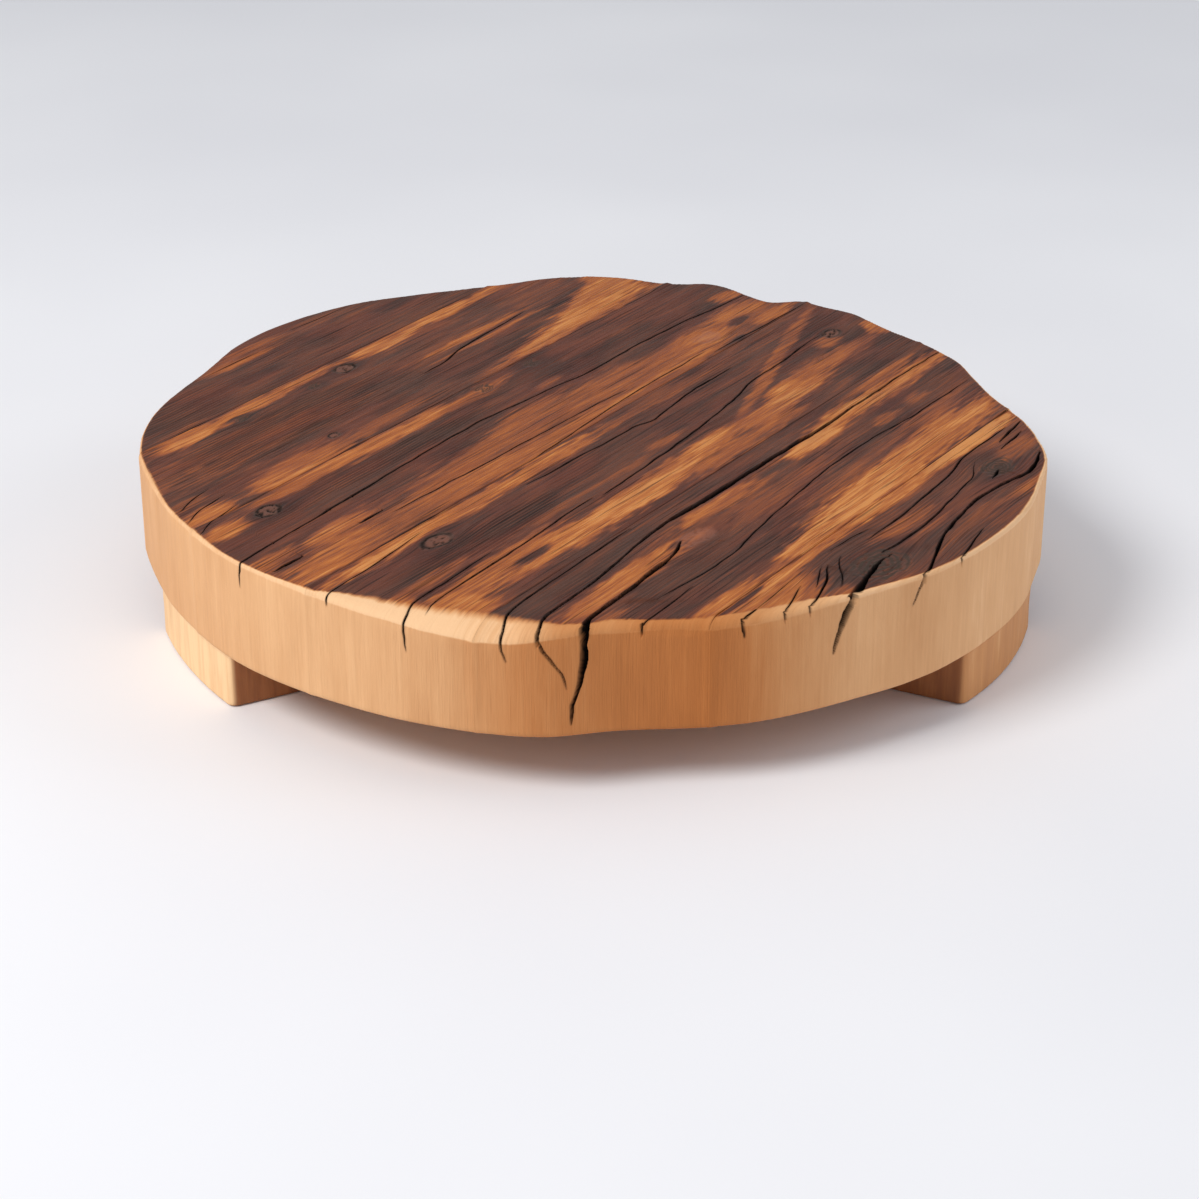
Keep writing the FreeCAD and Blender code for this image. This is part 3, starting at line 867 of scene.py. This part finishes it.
boards = [buildPlank(name) for name in plankNames]
print("boards built,", sum(len(board.data.polygons) for board in boards), "faces")


def colour(red, green, blue):
    # written as on a screen, 0 to 255, and turned to scene light
    shares = [part / 255 for part in (red, green, blue)]
    return (*(c / 12.92 if c <= 0.04045 else ((c + 0.055) / 1.055) ** 2.4 for c in shares), 1)


def addNode(tree, kind, inputs=None, **settings):
    made = tree.nodes.new(kind)
    for key, value in settings.items():
        setattr(made, key, value)
    for key, value in (inputs or {}).items():
        if isinstance(value, bpy.types.NodeSocket):
            tree.links.new(value, made.inputs[key])
        else:
            made.inputs[key].default_value = value
    return made


def calc(tree, operation, first, second=0.0, third=0.0):
    return addNode(tree, "ShaderNodeMath", {0: first, 1: second, 2: third}, operation=operation).outputs[0]


def blendColour(tree, share, first, second):
    return addNode(tree, "ShaderNodeMix", {0: share, 6: first, 7: second}, data_type="RGBA").outputs[2]


def ramp(tree, value, stops):
    made = addNode(tree, "ShaderNodeValToRGB", {0: value})
    bar = made.color_ramp
    while len(bar.elements) < len(stops):
        bar.elements.new(0.5)
    for element, (place, shade) in zip(bar.elements, stops):
        element.position = place
        element.color = colour(*shade)
    return made.outputs[0]


def range01(tree, value, low, high):
    return addNode(tree, "ShaderNodeMapRange", {0: value, 1: low, 2: high, 3: 0.0, 4: 1.0}).outputs[0]


def field(tree, name):
    return addNode(tree, "ShaderNodeAttribute", attribute_name=name).outputs["Fac"]


def startMaterial(name):
    material = bpy.data.materials.new(name)
    material.use_nodes = True
    tree = material.node_tree
    tree.nodes.clear()
    shader = addNode(tree, "ShaderNodeBsdfPrincipled")
    output = addNode(tree, "ShaderNodeOutputMaterial")
    tree.links.new(shader.outputs[0], output.inputs[0])
    return material, tree, shader


def streakNoise(tree, coordinates, along, across, detail=3.0, roughness=0.6, depth=0.0):
    # noise drawn out along the grain; along and across are its lengths in metres
    size, place = (1 / along, 1 / across, 1 / across), (depth, depth * 1.7, depth * 0.3)
    scaled = addNode(tree, "ShaderNodeMapping", {"Vector": coordinates, "Scale": size, "Location": place})
    given = {"Vector": scaled.outputs[0], "Scale": 1.0, "Detail": detail, "Roughness": roughness}
    return addNode(tree, "ShaderNodeTexNoise", given).outputs[0]


def addBump(tree, shader, height, strength, distance):
    bump = addNode(tree, "ShaderNodeBump", {"Height": height, "Strength": strength, "Distance": distance})
    tree.links.new(bump.outputs[0], shader.inputs["Normal"])


slabFinish = {
    # broad, fine, fibre, patch and thread: metres along the grain and across it, detail, roughness, depth
    "noises": [(0.060, 0.0050, 3, 0.6, 0.0), (0.035, 0.0012, 3, 0.65, 3.0), (0.012, 0.00035, 2, 0.6, 7.0),
               (0.045, 0.014, 3, 0.6, 11.0), (0.055, 0.0011, 1, 0.4, 17.0)],
    "tones": [(0.0, (42, 26, 22)), (0.2, (80, 47, 37)), (0.34, (108, 62, 45)), (0.48, (138, 77, 47)),
              (0.64, (164, 91, 48)), (0.82, (190, 112, 54)), (1.0, (216, 144, 80))],
    "greyed": (94, 74, 62),
    "greyShare": 0.25,
    "reddened": (132, 68, 50),
    "redShare": 0.25,
    "variation": (0.75, 0.85, 0.55),      # broad, fine and fibre, on the top
    "darkVariation": 0.5,                 # share of it left on the dark wood
    "hairline": 0.55,                     # how much darker the fine lines along the grain are
    "wallVariation": (0.22, 0.26, 0.3),   # broad, fine and patches, on the wall
    "pale": [(0.0, (150, 104, 66)), (0.5, (204, 150, 102)), (0.9, (236, 188, 140)), (1.0, (246, 203, 158))],
    "orange": [(0.0, (144, 80, 36)), (0.5, (188, 114, 58)), (1.0, (220, 152, 92))],
    "charred": (74, 62, 54),
    "knotRed": (160, 104, 84),
    "knotRedShare": 0.4,
    "toneSpan": (0.28, 0.6),              # tones between which the variation grows to its full share
    # near-black painted shade for the inside of splits, also used for the fine dark hairlines
    "crackShade": (13, 7, 5),
    "gloss": 0.14,
    "bump": (0.8, 0.0005),                # strength, and height in metres
    "topRoughness": 0.46,
    "wallRoughness": 0.62,
}


def makeSlabWood():
    material, tree, shader = startMaterial("slabWood")
    grain = addNode(tree, "ShaderNodeUVMap", uv_map="grain").outputs[0]
    broad, fine, fibre, patch, thread = (streakNoise(tree, grain, *noise) for noise in slabFinish["noises"])
    streaky = 0.0
    for noise, share in zip((broad, fine, fibre), slabFinish["variation"]):
        streaky = calc(tree, "ADD", streaky, calc(tree, "MULTIPLY_ADD", noise, share, -share / 2))
    low, high = slabFinish["toneSpan"]
    limits = {0: field(tree, "tone"), 1: low, 2: high, 3: slabFinish["darkVariation"], 4: 1.0}
    gain = addNode(tree, "ShaderNodeMapRange", limits).outputs[0]
    tone = calc(tree, "MULTIPLY_ADD", streaky, gain, field(tree, "tone"))
    weathered = ramp(tree, tone, slabFinish["tones"])
    dark = range01(tree, tone, 0.45, 0.25)
    greyShare = calc(tree, "MULTIPLY", dark, range01(tree, patch, 0.46, 0.66))
    greyShare = calc(tree, "MULTIPLY", greyShare, slabFinish["greyShare"])
    weathered = blendColour(tree, greyShare, weathered, colour(*slabFinish["greyed"]))
    redShare = calc(tree, "MULTIPLY", range01(tree, patch, 0.52, 0.34), slabFinish["redShare"])
    weathered = blendColour(tree, redShare, weathered, colour(*slabFinish["reddened"]))

    woodTone = field(tree, "tone")
    for noise, share in zip((broad, fine, patch), slabFinish["wallVariation"]):
        woodTone = calc(tree, "ADD", woodTone, calc(tree, "MULTIPLY_ADD", noise, share, -share / 2))
    wall = blendColour(tree, field(tree, "orange"), ramp(tree, woodTone, slabFinish["pale"]),
                       ramp(tree, woodTone, slabFinish["orange"]))
    hairline = calc(tree, "MULTIPLY", range01(tree, thread, 0.37, 0.31), slabFinish["hairline"])
    weathered = blendColour(tree, hairline, weathered, colour(*slabFinish["crackShade"]))
    shade = blendColour(tree, field(tree, "edge"), weathered, wall)
    redness = calc(tree, "MULTIPLY", field(tree, "red"), slabFinish["knotRedShare"])
    shade = blendColour(tree, redness, shade, colour(*slabFinish["knotRed"]))
    shade = blendColour(tree, field(tree, "burnt"), shade, colour(*slabFinish["charred"]))
    # painted shade inside the splits, with the dark stains beside them, the dark seams and the dark lines
    # round knots
    shade = blendColour(tree, field(tree, "gouge"), shade, colour(*slabFinish["crackShade"]))
    tree.links.new(shade, shader.inputs["Base Color"])

    sides = {0: field(tree, "edge"), 2: slabFinish["topRoughness"], 3: slabFinish["wallRoughness"]}
    roughness = addNode(tree, "ShaderNodeMix", sides).outputs[0]
    roughness = calc(tree, "ADD", roughness, calc(tree, "MULTIPLY_ADD", fine, 0.4, -0.2))
    dullest = calc(tree, "MAXIMUM", field(tree, "gouge"), field(tree, "burnt"))
    roughness = calc(tree, "MAXIMUM", roughness, dullest)
    tree.links.new(roughness, shader.inputs["Roughness"])
    shader.inputs["Specular IOR Level"].default_value = slabFinish["gloss"]
    height = calc(tree, "MULTIPLY_ADD", fine, 0.6, calc(tree, "MULTIPLY", fibre, 0.4))
    addBump(tree, shader, height, *slabFinish["bump"])
    return material


slabWood = makeSlabWood()
for board in boards:
    board.data.materials.append(slabWood)

footFinish = {
    # the cut faces' colours are darker partly as painted shade, the outer faces' lighter partly as painted
    # light
    "cut": [(0.25, (118, 66, 32)), (0.5, (148, 88, 44)), (0.75, (174, 110, 62))],
    "outer": [(0.2, (178, 114, 66)), (0.5, (210, 148, 92)), (0.8, (248, 208, 158))],
    # painted light: the left foot's outer face lighter as if lit, the right one's darker as if in shade
    "outerTone": {"left": 0.26, "right": -0.04, "back": 0.0},
    "roughness": 0.65,
    "grain": (0.05, 0.0016),              # metres along and across
    "bump": (0.5, 0.0003),
}
dowelFinish = {
    "cut": [(0.3, (196, 156, 112)), (0.7, (222, 188, 146))],
    "roughness": 0.55,
    "grain": (0.02, 0.0008),
    "bump": (0.5, 0.0003),
}
screwFinish = {
    "worn": [(0.3, (150, 146, 134)), (0.7, (196, 192, 182))],
    "roughness": 0.22,
    "grain": (0.002, 0.0006),
}


def makePlainWood(name, finish):
    material, tree, shader = startMaterial(name)
    along, across = finish["grain"]
    place = addNode(tree, "ShaderNodeTexCoord").outputs["Object"]
    if "outer" in finish:
        # saw marks run up and down the feet
        parts = addNode(tree, "ShaderNodeSeparateXYZ", {0: place}).outputs
        turned = {0: parts[2], 1: parts[0], 2: parts[1]}
        place = addNode(tree, "ShaderNodeCombineXYZ", turned).outputs[0]
    broad = streakNoise(tree, place, along, across * 4, 3, 0.6)
    fine = streakNoise(tree, place, along * 0.5, across, 3, 0.65, 5.0)
    tone = calc(tree, "MULTIPLY_ADD", broad, 0.6, calc(tree, "MULTIPLY", fine, 0.4))
    shade = ramp(tree, tone, finish["cut"])
    if "outer" in finish:
        # the outer faces' tone, raised or lowered per foot as painted light
        outerTone = calc(tree, "ADD", calc(tree, "MULTIPLY_ADD", tone, 0.6, 0.2), field(tree, "tone"))
        shade = blendColour(tree, field(tree, "edge"), shade, ramp(tree, outerTone, finish["outer"]))
    tree.links.new(shade, shader.inputs["Base Color"])
    roughness = calc(tree, "MULTIPLY_ADD", fine, 0.2, finish["roughness"] - 0.1)
    tree.links.new(roughness, shader.inputs["Roughness"])
    addBump(tree, shader, fine, *finish["bump"])
    return material


footWood = makePlainWood("footWood", footFinish)
dowelWood = makePlainWood("dowelWood", dowelFinish)


def makeScrewSteel():
    material, tree, shader = startMaterial("screwSteel")
    place = addNode(tree, "ShaderNodeTexCoord").outputs["Object"]
    wear = streakNoise(tree, place, *screwFinish["grain"], 2, 0.5)
    tree.links.new(ramp(tree, wear, screwFinish["worn"]), shader.inputs["Base Color"])
    roughness = calc(tree, "MULTIPLY_ADD", wear, 0.25, screwFinish["roughness"])
    tree.links.new(roughness, shader.inputs["Roughness"])
    shader.inputs["Metallic"].default_value = 1.0
    return material


screwSteel = makeScrewSteel()
print("finishes made")

footShape = {
    "faceSize": 0.8,          # the even faces that the carving is done on
    "sawRelief": 0.16,
    "handRelief": 0.5,
    "restHeight": 0.3,        # left flat where it stands and where it meets the slab
}


def weldedCopy(name):
    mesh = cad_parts[name].data.copy()
    welded = bmesh.new()
    welded.from_mesh(mesh)
    bmesh.ops.remove_doubles(welded, verts=welded.verts, dist=0.001 * toMetres)
    welded.to_mesh(mesh)
    welded.free()
    return mesh


def bakedMesh(piece):
    evaluated = piece.evaluated_get(bpy.context.evaluated_depsgraph_get())
    made = bpy.data.meshes.new_from_object(evaluated)
    piece.modifiers.clear()
    return made


def buildFoot(side):
    node = f"foot_{side}"
    piece = newPiece(f"carved_{node}", weldedCopy(node))
    evened = piece.modifiers.new("evenFaces", "REMESH")
    evened.mode, evened.voxel_size = "VOXEL", footShape["faceSize"] * toMetres
    piece.data = bakedMesh(piece)
    count = len(piece.data.vertices)
    points, normals = np.zeros(count * 3), np.zeros(count * 3)
    piece.data.vertices.foreach_get("co", points)
    piece.data.vertices.foreach_get("normal", normals)
    points, normals = points.reshape(-1, 3) / toMetres, normals.reshape(-1, 3)
    x, y, z = points.T
    angle = np.degrees(np.arctan2(y, x)) % 360
    outward = (normals[:, 0] * x + normals[:, 1] * y) / np.hypot(x, y)
    around = np.radians(angle) * meanRadius
    seed = 900 + 10 * footSides.index(side)
    along = around * outward + np.hypot(x, y) * (1 - np.abs(outward))
    saw = layeredNoise(along / 1.4, z / 26, seed, 2)
    hand = layeredNoise((x + y) / 14, (z + x - y) / 11, seed + 3, 2)
    low, high = points[:, 2].min(), points[:, 2].max()
    carved = smoothStep(footShape["restHeight"], 2.0, np.minimum(z - low, high - z))
    carved = carved * (np.abs(normals[:, 2]) < 0.7)
    relief = footShape["sawRelief"] * saw + footShape["handRelief"] * hand
    points -= normals * (relief * carved)[:, None]
    floorLevel, slabLevel = (corner.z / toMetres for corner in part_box(node))
    points[:, 2] = np.clip(points[:, 2], floorLevel, slabLevel)
    piece.data.vertices.foreach_set("co", (points * toMetres).astype(np.float32).reshape(-1))
    # outward faces take the lighter outer colour, partly painted light
    writeField(piece.data, "edge", smoothStep(0.3, 0.85, outward))
    # per-foot painted light on the outer faces
    writeField(piece.data, "tone", np.full(count, footFinish["outerTone"][side]))
    piece.data.polygons.foreach_set("use_smooth", np.ones(len(piece.data.polygons), bool))
    piece.data.materials.clear()
    piece.data.materials.append(footWood)
    placePiece(piece, node)


for side in footSides:
    buildFoot(side)
print("feet carved")


# millimetres, and the names of the nodes' inputs
screwShape = {
    "Shank Radius": 2.25,
    "Thread Pitch": 1.9,
    "Thread Depth": 0.75,
    "Head Height": 2.6,
    "Tip Length": 6.0,
    "Recess Width": 1.0,
    "Recess Length": 4.0,
    "Recess Depth": 1.6,
    "Dome": 0.7,
}
dowelShape = {
    "Flute Depth": 0.35,
    "Chamfer": 1.5,
}
fluteCount = 16


def startGroup(name, inputs):
    group = bpy.data.node_groups.new(name, "GeometryNodeTree")
    group.interface.new_socket("Geometry", in_out="INPUT", socket_type="NodeSocketGeometry")
    group.interface.new_socket("Geometry", in_out="OUTPUT", socket_type="NodeSocketGeometry")
    keys = {}
    for label in inputs:
        socket = group.interface.new_socket(label, in_out="INPUT", socket_type="NodeSocketFloat")
        keys[label] = socket.identifier
    return group, group.nodes.new("NodeGroupInput"), group.nodes.new("NodeGroupOutput"), keys


def pointParts(group):
    place = addNode(group, "GeometryNodeInputPosition").outputs[0]
    return addNode(group, "ShaderNodeSeparateXYZ", {0: place}).outputs


def reshape(group, geometry, x, y, z):
    place = addNode(group, "ShaderNodeCombineXYZ", {0: x, 1: y, 2: z}).outputs[0]
    return addNode(group, "GeometryNodeSetPosition", {"Geometry": geometry, "Position": place}).outputs[0]


def finishGroup(group, output, points, shape, material):
    given = {"Points": points, "Instance": shape}
    placed = addNode(group, "GeometryNodeInstanceOnPoints", given).outputs[0]
    real = addNode(group, "GeometryNodeRealizeInstances", {0: placed}).outputs[0]
    painted = addNode(group, "GeometryNodeSetMaterial", {"Geometry": real})
    painted.inputs["Material"].default_value = material
    group.links.new(painted.outputs[0], output.inputs[0])


def makeScrewGroup():
    group, given, output, keys = startGroup("threadedScrews", ["Length", "Head Radius", *screwShape])
    size = given.outputs
    rod = {"Vertices": 28, "Side Segments": 120, "Radius": size["Shank Radius"], "Depth": size["Length"]}
    shank = addNode(group, "GeometryNodeMeshCylinder", rod).outputs[0]
    parts = pointParts(group)
    height = calc(group, "MULTIPLY_ADD", size["Length"], 0.5, parts[2])
    turn = calc(group, "DIVIDE", calc(group, "ARCTAN2", parts[1], parts[0]), 2 * math.pi)
    turn = calc(group, "SUBTRACT", calc(group, "DIVIDE", height, size["Thread Pitch"]), turn)
    ridge = calc(group, "ABSOLUTE", calc(group, "MULTIPLY_ADD", calc(group, "FRACT", turn), 2.0, -1.0))
    cut = calc(group, "DIVIDE", size["Thread Depth"], size["Shank Radius"])
    cut = calc(group, "MULTIPLY", calc(group, "SUBTRACT", 1.0, ridge), cut)
    point = calc(group, "DIVIDE", calc(group, "SUBTRACT", size["Length"], height), size["Tip Length"])
    point = calc(group, "MAXIMUM", calc(group, "MINIMUM", point, 1.0), 0.06)
    keep = calc(group, "MULTIPLY", calc(group, "SUBTRACT", 1.0, cut), point)
    kept = [calc(group, "MULTIPLY", parts[axis], keep) for axis in (0, 1)]
    shank = reshape(group, shank, *kept, height)

    disc = {"Vertices": 40, "Side Segments": 2, "Fill Segments": 5, "Radius": size["Head Radius"],
            "Depth": size["Head Height"]}
    head = addNode(group, "GeometryNodeMeshCylinder", disc).outputs[0]
    parts = pointParts(group)
    radius = calc(group, "MULTIPLY_ADD", parts[0], parts[0], calc(group, "MULTIPLY", parts[1], parts[1]))
    radius = calc(group, "SQRT", radius)
    height = calc(group, "MULTIPLY_ADD", size["Head Height"], 0.5, parts[2])
    outer = calc(group, "LESS_THAN", height, calc(group, "MULTIPLY", size["Head Height"], 0.3))
    rounding = calc(group, "POWER", calc(group, "DIVIDE", radius, size["Head Radius"]), 3.0)
    lift = calc(group, "MULTIPLY", calc(group, "MULTIPLY", rounding, size["Dome"]), outer)
    head = reshape(group, head, parts[0], parts[1], calc(group, "ADD", height, lift))
    bars = []
    for first, second in (("Recess Width", "Recess Length"), ("Recess Length", "Recess Width")):
        depth = calc(group, "MULTIPLY", size["Recess Depth"], 2.0)
        extents = {0: size[first], 1: size[second], 2: depth}
        extent = addNode(group, "ShaderNodeCombineXYZ", extents).outputs[0]
        bars.append(addNode(group, "GeometryNodeMeshCube", {"Size": extent}).outputs[0])
    slotted = addNode(group, "GeometryNodeMeshBoolean", {"Mesh 1": head}, operation="DIFFERENCE")
    for bar in bars:
        group.links.new(bar, slotted.inputs["Mesh 2"])
    joined = addNode(group, "GeometryNodeJoinGeometry")
    group.links.new(slotted.outputs[0], joined.inputs[0])
    group.links.new(shank, joined.inputs[0])
    finishGroup(group, output, given.outputs[0], joined.outputs[0], screwSteel)
    return group, keys


def makeDowelGroup():
    labels = ["Length", "Radius", "Flute Count", *dowelShape]
    group, given, output, keys = startGroup("flutedDowels", labels)
    size = given.outputs
    sides = {"Vertices": 64, "Side Segments": 12, "Radius": size["Radius"], "Depth": size["Length"]}
    rod = addNode(group, "GeometryNodeMeshCylinder", sides).outputs[0]
    parts = pointParts(group)
    angle = calc(group, "ARCTAN2", parts[1], parts[0])
    wave = calc(group, "COSINE", calc(group, "MULTIPLY", angle, size["Flute Count"]))
    flute = calc(group, "DIVIDE", size["Flute Depth"], size["Radius"])
    flute = calc(group, "MULTIPLY", calc(group, "MAXIMUM", wave, 0.0), flute)
    fromEnd = calc(group, "MULTIPLY", size["Length"], 0.5)
    fromEnd = calc(group, "SUBTRACT", fromEnd, calc(group, "ABSOLUTE", parts[2]))
    chamfer = calc(group, "MINIMUM", calc(group, "DIVIDE", fromEnd, size["Chamfer"]), 1.0)
    chamfer = calc(group, "MULTIPLY_ADD", chamfer, 0.15, 0.85)
    keep = calc(group, "MULTIPLY", calc(group, "SUBTRACT", 1.0, flute), chamfer)
    # laid along Y, across the seam
    keptX, keptZ = (calc(group, "MULTIPLY", parts[axis], keep) for axis in (0, 1))
    laid = reshape(group, rod, keptX, parts[2], keptZ)
    turned = addNode(group, "GeometryNodeFlipFaces", {0: laid}).outputs[0]
    finishGroup(group, output, given.outputs[0], turned, dowelWood)
    return group, keys


def solidBoxes(node):
    # lowest and highest corner of each solid in a node that holds several
    mesh = bmesh.new()
    mesh.from_mesh(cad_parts[node].data)
    bmesh.ops.remove_doubles(mesh, verts=mesh.verts, dist=0.001 * toMetres)
    waiting, boxes = set(mesh.verts), []
    while waiting:
        places, front = [], [waiting.pop()]
        while front:
            vertex = front.pop()
            places.append(vertex.co[:])
            beside = {link.other_vert(vertex) for link in vertex.link_edges} & waiting
            waiting -= beside
            front.extend(beside)
        boxes.append((np.min(places, axis=0), np.max(places, axis=0)))
    mesh.free()
    return sorted(boxes, key=lambda box: tuple(box[0]))


def growOnPoints(name, node, places, group, keys, sizes, slotName):
    mesh = bpy.data.meshes.new(name)
    mesh.from_pydata([tuple(place) for place in places], [], [])
    piece = newPiece(name, mesh)
    grower = piece.modifiers.new("grow", "NODES")
    grower.node_group = group
    for label, size in sizes.items():
        grower[keys[label]] = float(size)
    piece.data = bakedMesh(piece)
    placePiece(piece, node)


screwGroup = makeScrewGroup()
for side in footSides:
    node = f"foot_screws_{side}"
    boxes = solidBoxes(node)
    low, high = boxes[0]
    sizes = {label: value * toMetres for label, value in screwShape.items()}
    sizes.update({"Length": high[2] - low[2], "Head Radius": (high[0] - low[0]) / 2})
    places = [((lo[0] + hi[0]) / 2, (lo[1] + hi[1]) / 2, lo[2]) for lo, hi in boxes]
    growOnPoints(f"threaded_screws_{side}", node, places, *screwGroup, sizes, "screw_steel")

dowelGroup = makeDowelGroup()
for number in range(1, len(plankNames)):
    node = f"seam_dowels_{number}"
    boxes = solidBoxes(node)
    low, high = boxes[0]
    sizes = {label: value * toMetres for label, value in dowelShape.items()}
    sizes.update({"Length": high[1] - low[1], "Radius": (high[0] - low[0]) / 2, "Flute Count": fluteCount})
    places = [(lo + hi) / 2 for lo, hi in boxes]
    growOnPoints(f"fluted_dowels_{number}", node, places, *dowelGroup, sizes, "dowel_wood")
print("screws and dowels grown")


studio = {
    "floorSize": 8.0,
    "floorColours": [(0.3, (238, 238, 242)), (0.7, (246, 246, 249))],
    "world": (0.92, 0.95, 1.0),
    "worldStrength": 0.5,
    "floorRoughness": 0.7,
    # place, size, power, tint
    "keyLight": ((-1.3, 0.5, 1.5), 0.9, 26.0, (1, 0.98, 0.95)),
    "fillLight": ((0.9, -1.4, 0.9), 1.2, 6.0, (0.97, 0.98, 1)),
    "lightsAim": (0, 0, 0.03),
    "cameraPlace": (-0.8403, -0.5748, 0.4989),
    "cameraTilt": (65.5, 0, -55.83),
    "cameraLens": 82.3,
    "cameraShift": -0.081,
}
reach = studio["floorSize"] / 2
floorMesh = bpy.data.meshes.new("floorMesh")
floorCorners = [(-reach, -reach, 0), (reach, -reach, 0), (reach, reach, 0), (-reach, reach, 0)]
floorMesh.from_pydata(floorCorners, [], [(0, 1, 2, 3)])
floor = newPiece("floor", floorMesh)
floorPaint, floorTree, floorShader = startMaterial("floorPaint")
floorPlace = addNode(floorTree, "ShaderNodeTexCoord").outputs["Object"]
spotted = addNode(floorTree, "ShaderNodeTexNoise", {"Vector": floorPlace, "Scale": 3.0}).outputs[0]
floorTree.links.new(ramp(floorTree, spotted, studio["floorColours"]), floorShader.inputs["Base Color"])
floorShader.inputs["Roughness"].default_value = studio["floorRoughness"]
floorMesh.materials.append(floorPaint)

scene = bpy.context.scene
scene.view_settings.view_transform = "Standard"
world = bpy.data.worlds.new("studioSky")
scene.world = world
world.use_nodes = True
world.node_tree.nodes["Background"].inputs[0].default_value = (*studio["world"], 1)
world.node_tree.nodes["Background"].inputs[1].default_value = studio["worldStrength"]

for name in ("keyLight", "fillLight"):
    place, size, power, tint = studio[name]
    lamp = bpy.data.lights.new(name, "AREA")
    lamp.shape, lamp.size, lamp.energy, lamp.color = "DISK", size, power, tint
    softbox = newPiece(name, lamp)
    softbox.location = place
    aim = Vector(studio["lightsAim"]) - Vector(place)
    softbox.rotation_euler = aim.to_track_quat("-Z", "Y").to_euler()

camera = bpy.data.cameras.new("viewCamera")
viewer = newPiece("viewCamera", camera)
viewer.location = studio["cameraPlace"]
viewer.rotation_euler = [math.radians(turn) for turn in studio["cameraTilt"]]
camera.lens = studio["cameraLens"]
camera.shift_y = studio["cameraShift"]
scene.camera = viewer
print("floor, lights and camera placed")
